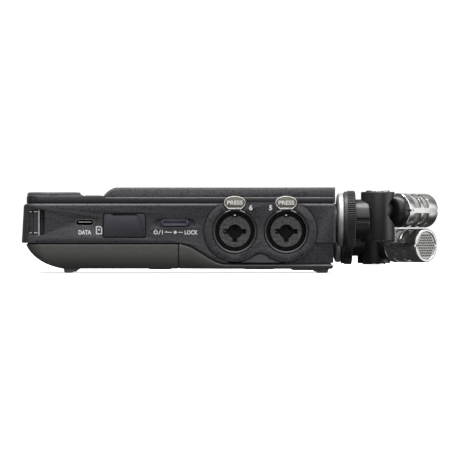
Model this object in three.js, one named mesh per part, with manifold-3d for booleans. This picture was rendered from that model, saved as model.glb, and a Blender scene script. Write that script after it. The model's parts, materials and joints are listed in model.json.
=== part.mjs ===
// A handheld sound recorder with two crossed microphones and four combination input jacks, in millimetres.
// It lies on its back on the plane z = 0: +X points to the microphones, +Z is up through the screen.
import * as THREE from "three";
import { mergeVertices } from "three/addons/utils/BufferGeometryUtils.js";
import Module from "manifold-3d";

const wasm = await Module();
wasm.setup();

// ---------------------------------------------------------------- driving dimensions

const GAP = 0.2; // clearance between pieces that meet
const PAST = 30; // how far a cutting solid runs past what it cuts

const CASE = {
  halfWidth: 37, // side faces; the jack pods and release tabs stand proud of them
  micEndX: 52.6,
  farEndX: -105.5, // middle of the bowed end
  bowRadius: 187,
  cornerRadius: 7,
  wall: 3.2,
  floorZ: 2, // underside, above the feet
  doorTopZ: 14.4,
  endLean: 1, // how far the far end leans in by the shoulder
  shoulderZ: 33.3, // the side face ends and a rounded shoulder begins
  shoulder: 1.4, // how far the shoulder draws in
  seamZ: 34.6, // the frame ends and the top panel begins
  ledgeZ: 36.8, // the panel's side draws in again under the screen block
  deckUnderZ: 36, // underside of the deck
  deckZ: 38.4, // the deck that holds the wheel and keys
  bezelZ: 42.5, // the raised screen block
};
const LENGTH = CASE.micEndX - CASE.farEndX;

const SWEEP = { fromX: -25.5, toX: -1.5, highZ: 14.9, lowZ: 4.9 }; // the frame's lower edge
const SEAM = 0.5; // the shadow line between the frame and the covers below it
const DOOR = { endX: -25.8, seam: 0.4, skin: 1.6 };
const BELLY = [ // the rounded underside: side inset, end inset and height at three control points
  { side: 0.15, end: 2, z: CASE.doorTopZ },
  { side: 2.2, end: 6.5, z: 4.6 },
  { side: 11, end: 20, z: CASE.floorZ },
];

const JACK = {
  z: 20.7,
  xs: [2.4, 27.9],
  podRadius: 15.2,
  podFillet: 5.55, // between the two discs of a pod, below
  podFace: 37.5,
  rimFace: 37.8,
  rimRadius: 10.9,
  socketRadius: 9.9,
  coreRadius: 7.85,
  coreFace: 36.6,
  plugRadius: 3.25, // takes a 6.35 mm plug
  backY: 12,
};
const TAB = {
  halfWidth: 5.5,
  lowZ: 31.7,
  highZ: 38.1,
  face: 38.5,
  thick: 0.75,
  travel: 1,
  stemWidth: 7,
  stemY: 30.5,
};
const STEP = { fromX: JACK.xs[1], topZ: 15.1, halfWidth: 36.2, endX: 51.3 }; // the recess beside the jack pods

const PANEL = { end: 1.9, front: 0.2, edge: 0.3 }; // how far the top panel stands in at its ends
const BEZEL = { footX: -62.6, topX: -55.9, side: 2.4, edge: 0.7 };
const GLASS = { x: [-51, 44], halfWidth: 30.5, thick: 1, topZ: 42.3, corner: 3 };
const LCD = { x: [-47.2, 37.7], halfWidth: 27.2, z: [36.6, 41] };
const WHEEL = { x: -89.4, radius: 13.6, z: [36.6, 40.5], shaft: 3 };
const KEY = { corner: 2, flange: 1, travel: 0.6, proud: 0.5 };
const KEYS = [
  { name: "play_key", x: -80, y: -25, size: [13, 12] },
  { name: "forward_key", x: -94.2, y: -24.4, size: [8.6, 9.6] },
  { name: "stop_key", x: -80, y: 25, size: [13, 12] },
  { name: "rewind_key", x: -94.2, y: 24.4, size: [8.6, 9.6] },
  { name: "record_key", x: -69.2, y: 0, size: [8.6, 16] },
];

const USB = { x: -72.2, z: 25.2, length: 9, height: 3.2, shell: 0.3 };
const CARD = { x: [-63, -41.9], z: [17.7, 29.5], thick: 1.4, notch: 6.2 };
const SLIDER = { x: -27.4, z: 24.9, length: 14.1, height: 3.3, travel: 2.6 };
const STRAP = { x: [-99.9, -92.1], z: [18.9, 31.4], depth: 6, barX: -95, barRadius: 0.8, barInset: 1.6 };
const AUDIO = { phonesX: -80, lineXs: [-62, -52], z: 25.2, bore: 1.8, collar: 3.8 };
const ROCKER = { x: -30, z: 24.5, length: 15, height: 5 };

const CELL = { radius: 7.25, x: [-84.5, -34], z: 12.2, pitch: 14.8 };
const BOARD = { z: [30.6, 32.2], x: [-95, -15], tongueX: 44, halfWidth: 31, tongueHalf: 8 };
const FEET = { wideY: 26, door: [-83.4, -75.5], cover: [42.6, 49.3], width: 9 };
const TRIPOD = { x: 15, radius: 6, thread: 3.2, topZ: 11 };
const SPEAKER = { x: -19.5, size: [8, 22, 3.6], slots: 5 };

const MIC = {
  y: -21,
  z: 26.65, // axis of the mounting neck; the other unit is this one turned over about midZ
  midZ: 22.4,
  hingeX: 74.15,
  headZ: 31.25, // axis of the capsule
  toe: 45, // degrees that the capsule turns inwards at rest
  neckRadius: 10.1,
  plugRadius: 7.6,
  ringRadius: 14.3,
  ringX: [56.9, 62.7],
  flangeRadius: 13.3,
  barrelRadius: 8.5,
  barrelZ: [15.4, 40.5],
  ballRadius: 7, // the ball turns in a round room behind the barrel's slot
  slotRadius: 7.4,
  pinRadius: 3,
  sleeveRadius: 8.6,
  sleeve: [14.8, 36.2], // distances from the hinge along the capsule
  windows: [[19.2, 23.5], [25.6, 29.2]],
  strut: 1.45, // half the width of the struts between the windows
};

const BIG = 32; // sides of the largest circles
const ROUND = 24;
const SMALL = 16;
const TINY = 12;

// ---------------------------------------------------------------- materials

const finish = (color, roughness, metalness) =>
  new THREE.MeshStandardMaterial({ color, roughness, metalness });
const MATERIAL = {
  case: finish(0x3c3b40, 0.75, 0),
  cover: finish(0x5a5958, 0.6, 0),
  rubber: finish(0x2a2a2c, 0.9, 0),
  satin: finish(0x222326, 0.5, 0),
  gloss: finish(0x07080a, 0.08, 0),
  key: finish(0x2c2c30, 0.55, 0),
  core: finish(0x46464a, 0.6, 0),
  dark: finish(0x0b0b0c, 0.6, 0),
  nickel: finish(0x8f8b83, 0.35, 1),
  steel: finish(0xd4d3d1, 0.3, 1),
  brass: finish(0xb59a5a, 0.35, 1),
  mesh: finish(0x73726c, 0.7, 0.3),
  board: finish(0x1d4a2c, 0.6, 0),
  cell: finish(0x6b6d72, 0.4, 0.4),
};

// ---------------------------------------------------------------- solids from three.js geometry

// A closed three.js geometry as a manifold-3d solid.
function solidOf(geometry) {
  const bare = geometry.clone();
  bare.deleteAttribute("normal");
  bare.deleteAttribute("uv");
  const merged = mergeVertices(bare, 1e-4);
  const corners = merged.index.array;
  const kept = [];
  for (let i = 0; i < corners.length; i += 3) {
    const [a, b, c] = corners.slice(i, i + 3);
    if (a !== b && b !== c && a !== c) kept.push(a, b, c);
  }
  const vertProperties = new Float32Array(merged.attributes.position.array);
  const build = (list) =>
    new wasm.Manifold(new wasm.Mesh({ numProp: 3, vertProperties, triVerts: new Uint32Array(list) }));
  const made = build(kept);
  return made.volume() < 0 ? build(kept.reverse()) : made;
}

// A manifold-3d solid as a three.js geometry.
function geometryOf(solid) {
  const mesh = solid.getMesh();
  const geometry = new THREE.BufferGeometry();
  geometry.setAttribute("position", new THREE.BufferAttribute(mesh.vertProperties, mesh.numProp));
  geometry.setIndex(new THREE.BufferAttribute(mesh.triVerts, 1));
  return geometry;
}

const joined = (...solids) => solids.flat().reduce((all, next) => all.add(next));
const cut = (solid, ...tools) => tools.flat().reduce((rest, tool) => rest.subtract(tool), solid);

function box([x0, x1], [y0, y1], [z0, z1]) {
  const geometry = new THREE.BoxGeometry(x1 - x0, y1 - y0, z1 - z0);
  return solidOf(geometry.translate((x0 + x1) / 2, (y0 + y1) / 2, (z0 + z1) / 2));
}

// Turns +Y, the axis of three.js's round geometries, onto a named axis.
function along(axis, geometry) {
  if (axis === "x") geometry.rotateZ(-Math.PI / 2);
  if (axis === "z") geometry.rotateX(Math.PI / 2);
  return geometry;
}

// A cylinder along an axis, over a span of that axis, centred at [first, second] of the other two.
function rod(axis, radius, [from, to], [u, v], sides = ROUND) {
  const geometry = along(axis, new THREE.CylinderGeometry(radius, radius, to - from, sides));
  const middle = (from + to) / 2;
  const at = { x: [middle, u, v], y: [u, middle, v], z: [u, v, middle] }[axis];
  return solidOf(geometry.translate(...at));
}

// A turned solid: the profile is [radius, place along the axis] pairs.
function turned(axis, profile, [u, v], sides = ROUND) {
  const points = profile.map(([radius, place]) => new THREE.Vector2(radius, place));
  const geometry = along(axis, new THREE.LatheGeometry(points, sides));
  const at = { x: [0, u, v], y: [u, 0, v], z: [u, v, 0] }[axis];
  return solidOf(geometry.translate(...at));
}

// A flat shape pushed through a span of an axis: "z" takes an (x, y) shape, "y" an (x, z) and "x" a (y, z).
const BASES = {
  z: [new THREE.Vector3(1, 0, 0), new THREE.Vector3(0, 1, 0), new THREE.Vector3(0, 0, 1)],
  y: [new THREE.Vector3(1, 0, 0), new THREE.Vector3(0, 0, 1), new THREE.Vector3(0, -1, 0)],
  x: [new THREE.Vector3(0, 1, 0), new THREE.Vector3(0, 0, 1), new THREE.Vector3(1, 0, 0)],
};
function prism(axis, shape, [from, to], curveSegments = 4) {
  const options = { depth: to - from, bevelEnabled: false, curveSegments };
  const geometry = new THREE.ExtrudeGeometry(shape, options);
  geometry.translate(0, 0, axis === "y" ? -to : from);
  return solidOf(geometry.applyMatrix4(new THREE.Matrix4().makeBasis(...BASES[axis])));
}

const polygon = (pairs) => new THREE.Shape(pairs.map(([x, y]) => new THREE.Vector2(x, y)));

function roundedRect([x0, x1], [y0, y1], radius) {
  const shape = new THREE.Shape();
  const quarter = Math.PI / 2;
  shape.absarc(x1 - radius, y0 + radius, radius, -quarter, 0);
  shape.absarc(x1 - radius, y1 - radius, radius, 0, quarter);
  shape.absarc(x0 + radius, y1 - radius, radius, quarter, 2 * quarter);
  shape.absarc(x0 + radius, y0 + radius, radius, 2 * quarter, 3 * quarter);
  return shape;
}

const centred = (middle, length) => [middle - length / 2, middle + length / 2];
const slotShape = (x, z, length, height) =>
  roundedRect(centred(x, length), centred(z, height), height / 2 - 0.01);

// A span of the wall's depth on one side: -1 is the near side, +1 the far side.
const depth = (side, a, b) => (side < 0 ? [-b, -a] : [a, b]);

// Rings of equal point count, stacked upwards and joined into one closed solid.
function loft(rings) {
  const count = rings[0].length;
  const index = [];
  for (let ring = 0; ring + 1 < rings.length; ring++)
    for (let i = 0; i < count; i++) {
      const a = ring * count + i;
      const b = ring * count + ((i + 1) % count);
      index.push(a, b, b + count, a, b + count, a + count);
    }
  const flat = rings[0].map((p) => new THREE.Vector2(p.x, p.y));
  const top = (rings.length - 1) * count;
  for (const [a, b, c] of THREE.ShapeUtils.triangulateShape(flat, []))
    index.push(a, c, b, top + a, top + b, top + c);
  const positions = rings.flat().flatMap((p) => [p.x, p.y, p.z]);
  const geometry = new THREE.BufferGeometry();
  geometry.setAttribute("position", new THREE.Float32BufferAttribute(positions, 3));
  return solidOf(geometry.setIndex(index));
}

// ---------------------------------------------------------------- the case outline

// The plan of the case: straight sides, a square microphone end, round corners and a bowed far end.
function planOutline() {
  const { halfWidth, micEndX, farEndX, bowRadius, cornerRadius } = CASE;
  const reach = bowRadius - cornerRadius;
  const lean = Math.asin((halfWidth - cornerRadius) / reach);
  const bowX = farEndX + bowRadius;
  const cornerX = bowX - reach * Math.cos(lean);
  const cornerY = halfWidth - cornerRadius;
  const arc = (x, y, radius, from, to, steps) =>
    Array.from({ length: steps + 1 }, (_, i) => {
      const angle = from + ((to - from) * i) / steps;
      return new THREE.Vector2(x + radius * Math.cos(angle), y + radius * Math.sin(angle));
    });
  return [
    new THREE.Vector2(micEndX, -halfWidth),
    new THREE.Vector2(micEndX, halfWidth),
    ...arc(cornerX, cornerY, cornerRadius, Math.PI / 2, Math.PI - lean, 4),
    ...arc(bowX, 0, bowRadius, Math.PI - lean, Math.PI + lean, 4).slice(1, -1),
    ...arc(cornerX, -cornerY, cornerRadius, Math.PI + lean, 1.5 * Math.PI, 4),
  ];
}
const PLAN = planOutline();

// The plan drawn in at its sides, its far end and its microphone end, at one height.
function planRing(z, side, end = side, front = side) {
  const shrink = (LENGTH - end - front) / LENGTH;
  return PLAN.map(
    (p) =>
      new THREE.Vector3(
        CASE.micEndX - front - (CASE.micEndX - p.x) * shrink,
        (p.y * (CASE.halfWidth - side)) / CASE.halfWidth,
        z,
      ),
  );
}
const slab = (inset, [z0, z1]) => loft([planRing(z0, inset), planRing(z1, inset)]);

// The rounded underside, from the floor up, with an even skin taken off it.
function belly(skin) {
  const steps = 4;
  const bend = (key, t) => {
    const [a, b, c] = BELLY.map((point) => point[key]);
    return (1 - t) ** 2 * a + 2 * t * (1 - t) * b + t * t * c;
  };
  const rings = Array.from({ length: steps + 1 }, (_, i) => {
    const t = 1 - i / steps;
    return planRing(bend("z", t) + skin * t, bend("side", t) + skin, bend("end", t) + skin, skin);
  });
  const { side, end, z } = BELLY[0];
  if (skin) rings.push(planRing(z + PAST, side + skin, end + skin, skin));
  return loft(rings);
}

// Everything under the frame's lower edge, which sweeps down in front of the jacks.
function underSweep(drop) {
  const steps = 8;
  const { fromX, toX, highZ, lowZ } = SWEEP;
  const curve = Array.from({ length: steps + 1 }, (_, i) => {
    const share = (1 + Math.cos((Math.PI * i) / steps)) / 2;
    return [fromX + ((toX - fromX) * i) / steps, lowZ + (highZ - lowZ) * share - drop];
  });
  const left = CASE.farEndX - PAST;
  const right = CASE.micEndX + PAST;
  const outline = [[left, -PAST], [left, highZ - drop], ...curve, [right, lowZ - drop], [right, -PAST]];
  return prism("y", polygon(outline.reverse()), [-CASE.halfWidth - PAST, CASE.halfWidth + PAST]);
}

// ---------------------------------------------------------------- casings

// The raised pod round one side's two jacks: two discs, flat between them above and filleted below.
function jackPod(side) {
  const { xs, z, podRadius, podFillet, podFace } = JACK;
  const half = (xs[1] - xs[0]) / 2;
  const drop = Math.sqrt((podRadius + podFillet) ** 2 - half ** 2);
  const lean = Math.atan2(drop, half);
  const flat = Math.asin((CASE.seamZ - z) / podRadius);
  const shape = new THREE.Shape();
  shape.absarc(xs[1], z, podRadius, lean - Math.PI, flat);
  shape.absarc(xs[0], z, podRadius, Math.PI - flat, 2 * Math.PI - lean);
  shape.absarc(xs[0] + half, z - drop, podFillet, Math.PI - lean, lean, true);
  return prism("y", shape, depth(side, CASE.halfWidth - CASE.wall, podFace), 12);
}

function jackCuts(side) {
  const through = depth(side, CASE.halfWidth - PAST, CASE.halfWidth + PAST);
  const pocket = depth(side, TAB.face - TAB.thick - TAB.travel - GAP, CASE.halfWidth + PAST);
  return JACK.xs.flatMap((x) => [
    rod("y", JACK.rimRadius + GAP, through, [x, JACK.z]),
    box(centred(x, TAB.stemWidth + 1.6), through, [TAB.lowZ + 0.3, TAB.lowZ + 3.7]),
    box(centred(x, 2 * (TAB.halfWidth + GAP)), pocket, [TAB.lowZ - 0.3, TAB.highZ + GAP]),
  ]);
}

// The ports, the card opening and the slider's slot, all on the near side.
function nearSideCuts() {
  const through = depth(-1, CASE.halfWidth - PAST / 2, CASE.halfWidth + PAST);
  const shallow = depth(-1, CASE.halfWidth - 1.3, CASE.halfWidth + PAST);
  const cardBed = depth(-1, CASE.halfWidth - CARD.thick - 0.9, CASE.halfWidth + PAST);
  const slot = SLIDER.length + 2 * SLIDER.travel + 0.3;
  return [
    prism("y", slotShape(USB.x, USB.z, USB.length + 0.4, USB.height + 0.4), through),
    prism("y", roundedRect(CARD.x, CARD.z, 0.2), cardBed, 1),
    box([CARD.x[0] + 3, CARD.x[1] - 3], through, [22.4, 25.6]),
    prism("y", slotShape(SLIDER.x, SLIDER.z, slot, SLIDER.height + 0.4), shallow),
    box(centred(SLIDER.x, 11), through, centred(SLIDER.z, 2)),
  ];
}

function farSideCuts() {
  const through = depth(1, CASE.halfWidth - PAST / 2, CASE.halfWidth + PAST);
  const collars = [AUDIO.phonesX, ...AUDIO.lineXs].map((x) =>
    rod("y", AUDIO.collar + GAP, through, [x, AUDIO.z], SMALL),
  );
  const rocker = slotShape(ROCKER.x, ROCKER.z, ROCKER.length + 0.5, ROCKER.height + 0.5);
  return [...collars, prism("y", rocker, through)];
}

const STRAP_BAR = [STRAP.barX, -CASE.halfWidth + STRAP.barInset];

function strapCuts() {
  const pocket = depth(-1, CASE.halfWidth - STRAP.depth, CASE.halfWidth + PAST);
  const ends = [STRAP.z[0] - 1.2, STRAP.z[1] + 1.2];
  return [box(STRAP.x, pocket, STRAP.z), rod("z", STRAP.barRadius + 0.15, ends, STRAP_BAR, TINY)];
}

// A thicker corner block that the strap pocket is cut into.
function strapBlock() {
  const block = box([-102, -89.5], depth(-1, 28.5, CASE.halfWidth), [STRAP.z[0] - 2, STRAP.z[1] + 2]);
  return block.intersect(slab(1.2, [CASE.floorZ, CASE.seamZ - 1]));
}

const wheelWell = () => rod("z", WHEEL.radius + 0.4, [WHEEL.z[0] - 0.3, CASE.bezelZ], [WHEEL.x, 0], BIG);

function mainFrame() {
  const { shoulderZ, shoulder, seamZ, endLean, wall, halfWidth, micEndX } = CASE;
  const shell = loft([
    planRing(SWEEP.lowZ, 0),
    planRing(BELLY[0].z, 0),
    planRing(shoulderZ, 0, endLean, 0),
    planRing(shoulderZ + 0.7 * (seamZ - shoulderZ), 0.3 * shoulder, endLean + 0.3 * shoulder, 0),
    planRing(seamZ, shoulder, endLean + shoulder, 0),
  ]);
  const hollow = slab(wall, [-PAST, seamZ + PAST]);
  const recess = [-1, 1].map((side) =>
    box([STEP.fromX, micEndX + PAST], depth(side, STEP.halfWidth, halfWidth + PAST), [-PAST, STEP.topZ]),
  );
  const endStep = box([STEP.endX, micEndX + PAST], [-halfWidth - PAST, -1], [-PAST, STEP.topZ]);
  const sockets = [-1, 1].map((side) =>
    rod("x", 6.5, [micEndX - 10, micEndX + PAST], [-side * MIC.y, MIC.midZ - side * (MIC.z - MIC.midZ)]),
  );
  const walls = joined(cut(shell, hollow, recess, endStep), jackPod(-1), jackPod(1), strapBlock());
  return cut(
    walls,
    underSweep(0),
    jackCuts(-1),
    jackCuts(1),
    nearSideCuts(),
    farSideCuts(),
    strapCuts(),
    sockets,
    wheelWell(),
  );
}

// The screen block in side view: it rises from the deck in half a parabola and runs on to the far end.
function bezelProfile() {
  const { footX, topX } = BEZEL;
  const { deckZ, bezelZ, ledgeZ, micEndX, halfWidth } = CASE;
  const steps = 8;
  const rise = Array.from({ length: steps + 1 }, (_, i) => {
    const t = 1 - i / steps;
    return [topX - (topX - footX) * t, bezelZ - (bezelZ - deckZ) * t * t];
  });
  const far = micEndX + PAST;
  const block = [[footX - 1, ledgeZ], [far, ledgeZ], [far, bezelZ + PAST], [topX, bezelZ + PAST]];
  const outline = [...block, ...rise.reverse()];
  return prism("y", polygon(outline), [-halfWidth, halfWidth]);
}

const keyOpening = (key, grow, span) =>
  prism(
    "z",
    roundedRect(
      centred(key.x, key.size[0] + 2 * grow),
      centred(key.y, key.size[1] + 2 * grow),
      KEY.corner + Math.max(grow, 0),
    ),
    span,
    4,
  );

function topPanel() {
  const { seamZ, ledgeZ, deckUnderZ, deckZ, bezelZ, wall, shoulder } = CASE;
  const ring = (z, side) => planRing(z, side, side + PANEL.end - shoulder + CASE.endLean, PANEL.front);
  const low = seamZ + 0.1;
  const deck = loft([
    ring(low, shoulder),
    ring(deckZ - PANEL.edge, shoulder),
    ring(deckZ, shoulder + PANEL.edge),
  ]).intersect(box([CASE.farEndX, BEZEL.footX + 0.5], centred(0, 200), [0, PAST * 2]));
  const ledge = loft([ring(low, shoulder), ring(ledgeZ, shoulder), ring(ledgeZ + 1, BEZEL.side)])
    .intersect(box([BEZEL.footX, CASE.micEndX], centred(0, 200), [0, PAST * 2]));
  const top = BEZEL.side + BEZEL.edge;
  const block = loft([
    ring(ledgeZ, BEZEL.side),
    ring(bezelZ - 2 * BEZEL.edge, BEZEL.side),
    ring(bezelZ - BEZEL.edge, top),
    ring(bezelZ, top),
  ]).intersect(bezelProfile());
  const lip = cut(slab(wall + GAP, [seamZ - 1.2, seamZ + 0.2]), slab(wall + 1.6, [0, PAST * 2]));
  const wellFloor = slab(wall + 0.4, [34.9, deckUnderZ + 0.3]).intersect(
    rod("z", WHEEL.radius + 0.9, [30, bezelZ], [WHEEL.x, 0]),
  );
  const glassBed = roundedRect(
    [GLASS.x[0] - 0.15, GLASS.x[1] + 0.15],
    centred(0, 2 * GLASS.halfWidth + 0.3),
    GLASS.corner,
  );
  const walls = cut(joined(deck, ledge, block), slab(wall + 0.8, [0, deckUnderZ]));
  return cut(
    joined(walls, lip, wellFloor),
    box([BEZEL.topX + 3, GLASS.x[1] + 5], centred(0, 64), [0, bezelZ - 2.3]),
    prism("z", glassBed, [GLASS.topZ - GLASS.thick - 0.1, bezelZ + PAST], 4),
    box([LCD.x[0] - 0.3, LCD.x[1] + 0.3], centred(0, 2 * LCD.halfWidth + 0.6), [0, bezelZ + PAST]),
    wheelWell(),
    rod("z", WHEEL.shaft + 1, [30, bezelZ], [WHEEL.x, 0], SMALL),
    KEYS.map((key) => keyOpening(key, 0.25, [0, deckZ + 1])),
    KEYS.map((key) => keyOpening(key, KEY.flange + GAP, [0, deckUnderZ])),
    [-1, 1].flatMap((side) => tabNotches(side)),
  );
}

// Room above each jack for its release tab and the tab's stem, where they pass the top panel.
const tabNotches = (side) =>
  JACK.xs.flatMap((x) => [
    box(
      centred(x, 2 * (TAB.halfWidth + GAP)),
      depth(side, TAB.face - TAB.thick - TAB.travel - GAP, CASE.halfWidth + PAST),
      [CASE.shoulderZ, TAB.highZ + GAP],
    ),
    box(centred(x, TAB.stemWidth + 2), depth(side, TAB.stemY - 1, CASE.halfWidth), [0, TAB.lowZ + 3.8]),
  ]);

// A moulded foot: upright on one side and sloping away on the other.
function foot([x0, x1], y, lean) {
  const slope = lean ? 3 : 0.7;
  const outline = [[x0, CASE.floorZ + 0.5], [x0 + 0.7, 0], [x1 - slope, 0], [x1, CASE.floorZ + 0.5]];
  return prism("y", polygon(outline), centred(y, FEET.width));
}

function batteryDoor() {
  const { farEndX, halfWidth, doorTopZ } = CASE;
  const cutter = box([farEndX - PAST, DOOR.endX], centred(0, 2 * halfWidth + PAST), [-PAST, doorTopZ]);
  const shell = cut(belly(0), belly(DOOR.skin)).intersect(cutter);
  const latchBed = prism("z", roundedRect([-44.3, -29.7], centred(0, 16.6), 2), [-PAST, CASE.floorZ + 0.9], 3);
  const rails = box([-43, DOOR.endX], centred(0, 22), [CASE.floorZ + 0.3, CASE.floorZ + 2]);
  const feet = [-1, 1].map((side) => foot(FEET.door, side * (FEET.wideY - 5), true));
  return joined(cut(joined(shell, rails), latchBed), feet);
}

// The sliding catch that holds the battery door shut.
function batteryLatch() {
  const plate = prism("z", roundedRect([-41, -30], centred(0, 16), 1.8), [1.4, CASE.floorZ + 0.7], 3);
  const grooves = [0, 1, 2, 3].map((i) => box(centred(-38.5 + 2 * i, 0.8), centred(0, 12), [-PAST, 1.8]));
  return cut(plate, grooves);
}

function backCover() {
  const { micEndX, halfWidth, floorZ, doorTopZ } = CASE;
  const left = DOOR.endX + DOOR.seam;
  const behindDoor = cut(belly(0), belly(DOOR.skin))
    .intersect(box([left, 4], centred(0, 2 * halfWidth + PAST), [-PAST, doorTopZ]))
    .intersect(underSweep(SEAM));
  const rib = cut(belly(0), belly(3)).intersect(box([left, left + 1.6], centred(0, 200), [-PAST, 10]));
  const plateTop = SWEEP.lowZ - SEAM;
  const end = micEndX - STEP.endX;
  const plate = loft([
    planRing(floorZ, 2.4, 2.4, end + 1.5),
    planRing(floorZ + 1.2, 0.9, 2.4, end + 0.3),
    planRing(plateTop - 0.4, 0.5, 2.4, end),
    planRing(plateTop, 0.9, 2.4, end),
  ]).intersect(box([-2, micEndX], centred(0, 200), [-PAST, PAST]));
  const pad = prism("z", roundedRect([31.7, 41.5], centred(0, 56), 3), [floorZ - 0.6, floorZ + 1], 3);
  const slots = Array.from({ length: SPEAKER.slots }, (_, i) =>
    box(centred(SPEAKER.x, 6), centred((i - 2) * 4, 1.5), [-PAST, 4.5]),
  );
  const feet = [-1, 1].map((side) => foot(FEET.cover, side * FEET.wideY, false));
  const boss = rod("z", TRIPOD.radius + 1.6, [floorZ - 0.6, floorZ + 5], [TRIPOD.x, 0]);
  return cut(
    joined(behindDoor, rib, plate, pad, feet, boss),
    slots,
    rod("z", TRIPOD.radius + 0.15, [floorZ + 0.4, PAST], [TRIPOD.x, 0]),
    rod("z", TRIPOD.thread + 0.6, [-PAST, PAST], [TRIPOD.x, 0]),
  );
}

function tripodBush() {
  const { x, radius, thread, topZ } = TRIPOD;
  const z = CASE.floorZ + 0.6;
  return cut(rod("z", radius, [z, topZ], [x, 0]), rod("z", thread, [-PAST, topZ - 1.5], [x, 0], SMALL));
}

// ---------------------------------------------------------------- screen, keys and wheel

const touchGlass = () =>
  prism(
    "z",
    roundedRect(GLASS.x, centred(0, 2 * GLASS.halfWidth), GLASS.corner),
    [GLASS.topZ - GLASS.thick, GLASS.topZ],
    4,
  );
const lcdModule = () => box(LCD.x, centred(0, 2 * LCD.halfWidth), LCD.z);

function transportKey(key) {
  const under = CASE.deckUnderZ;
  const flange = keyOpening(key, KEY.flange, [under - 1.2, under - GAP]);
  return joined(keyOpening(key, 0, [under - 0.4, CASE.deckZ + KEY.proud]), flange);
}

function jogWheel() {
  const { x, radius, z, shaft } = WHEEL;
  const [low, top] = z;
  const profile = [
    [0, 33], [shaft, 33], [shaft, low], [radius - 0.5, low], [radius, low + 0.5],
    [radius, top - 0.6], [radius - 0.6, top], [radius - 3, top], [radius - 4.5, top - 0.7], [0, top - 0.9],
  ];
  const dimple = new THREE.SphereGeometry(5, SMALL, 8).translate(x + 7, 0, top + 3.2);
  return cut(turned("z", profile, [x, 0], BIG), solidOf(dimple));
}

// ---------------------------------------------------------------- electronics and cells

// The board: wide behind the keys, with a tongue that runs between the two rows of jacks.
function mainBoard() {
  const { x, tongueX, halfWidth, tongueHalf } = BOARD;
  const outline = [
    [x[0], -27.5], [x[0] + 6.5, -27.5], [x[0] + 6.5, -halfWidth], [x[1], -halfWidth], [x[1], -tongueHalf],
    [tongueX, -tongueHalf], [tongueX, tongueHalf], [x[1], tongueHalf], [x[1], halfWidth],
    [x[0] + 6.5, halfWidth], [x[0] + 6.5, 27.5], [x[0], 27.5],
  ];
  const board = prism("z", polygon(outline), BOARD.z);
  const chips = [[-60, 8, 14], [-40, -10, 10], [-30, 14, 9], [5, 0, 8], [25, 0, 8]].map(([x, y, size]) =>
    box(centred(x, size), centred(y, size), [BOARD.z[1] - 0.1, BOARD.z[1] + 1.2]),
  );
  return cut(joined(board, chips), rod("z", WHEEL.shaft + 0.5, [0, 60], [WHEEL.x, 0], SMALL));
}

function batteryTray() {
  const roof = box([-88.5, -30], centred(0, 61), [19.8, 21]);
  const ends = [[-88.5, -87.3], [-31.2, -30]].map((x) => box(x, centred(0, 59), [7, 20]));
  const rails = [-1, 1].map((side) => box([-88, -30.5], depth(side, 29.9, 30.5), [12, 20]));
  return joined(roof, ends, rails);
}

// A cell along X, with its button to +X or -X.
function batteryCell(index) {
  const { radius, x, z, pitch } = CELL;
  const up = index % 2 === 0;
  const [tail, nose] = up ? x : [x[1], x[0]];
  const sign = up ? 1 : -1;
  const profile = [
    [0, tail], [radius - 0.5, tail], [radius, tail + 0.5 * sign], [radius, nose - 1.6 * sign],
    [radius - 0.6, nose - 1 * sign], [2.7, nose - 1 * sign], [2.6, nose], [0, nose],
  ];
  return turned("x", profile, [(index - 1.5) * pitch, z], SMALL);
}

// One strip with four pressed cone springs.
function batterySprings() {
  const plate = box([-87.1, -86.5], centred(0, 56), [8, 17]);
  const cones = [0, 1, 2, 3].map((i) =>
    turned("x", [[0, -86.8], [3.6, -86.8], [2.2, -84.8], [0, -84.8]], [(i - 1.5) * CELL.pitch, CELL.z], TINY),
  );
  return joined(plate, cones);
}

const speakerDriver = () =>
  joined(
    box(centred(SPEAKER.x, SPEAKER.size[0]), centred(0, SPEAKER.size[1]), [4.6, 4.6 + SPEAKER.size[2]]),
    rod("z", 3, [6, 10], [SPEAKER.x, 0], SMALL),
  );

// ---------------------------------------------------------------- input jacks

// The socket body: a blind cup, open at the case's face.
function jackShell(side, x) {
  const { rimRadius, socketRadius, rimFace, backY, z } = JACK;
  const body = rod("y", rimRadius, depth(side, backY, rimFace), [x, z]);
  return cut(body, rod("y", socketRadius, depth(side, backY + 2, rimFace + PAST), [x, z]));
}

// The core that a microphone plug's shell slides over, with the line plug's bore and three pin slots.
function jackCore(side, x) {
  const { coreRadius, coreFace, plugRadius, backY, z } = JACK;
  const span = depth(side, backY + 2.2, coreFace);
  const bore = depth(side, backY + 4, coreFace + PAST);
  const slots = depth(side, coreFace - 9, coreFace + PAST);
  const keyway = depth(side, coreFace - 5, coreFace + PAST);
  return cut(
    rod("y", coreRadius, span, [x, z]),
    rod("y", plugRadius, bore, [x, z], SMALL),
    box(centred(x, 11.4), slots, centred(z, 1.9)),
    box(centred(x, 1.9), slots, [z - 5.6, z]),
    box(centred(x, 3.2), keyway, [z + coreRadius - 1, z + coreRadius + 1]),
  );
}

// The release tab: a rounded plate that is pressed in, on a stem that goes through the wall.
function jackRelease(side, x) {
  const { halfWidth, lowZ, highZ, face, thick, stemWidth, stemY } = TAB;
  const plate = roundedRect([x - halfWidth, x + halfWidth], [lowZ, highZ], 2.6);
  const stem = box(centred(x, stemWidth), depth(side, stemY, face - thick / 2), [lowZ + 0.7, lowZ + 3.3]);
  return joined(prism("y", plate, depth(side, face - thick, face), 4), stem);
}

// ---------------------------------------------------------------- ports and small controls

function usbPort() {
  const span = depth(-1, 29.5, 36.6);
  const { x, z, length, height, shell } = USB;
  const outer = prism("y", slotShape(x, z, length, height), span);
  const inner = slotShape(x, z, length - 2 * shell, height - 2 * shell);
  const tongue = box(centred(x, 6.6), depth(-1, 29.6, 36), centred(z, 0.7));
  return joined(cut(outer, prism("y", inner, depth(-1, 30.3, 40))), tongue);
}

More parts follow.
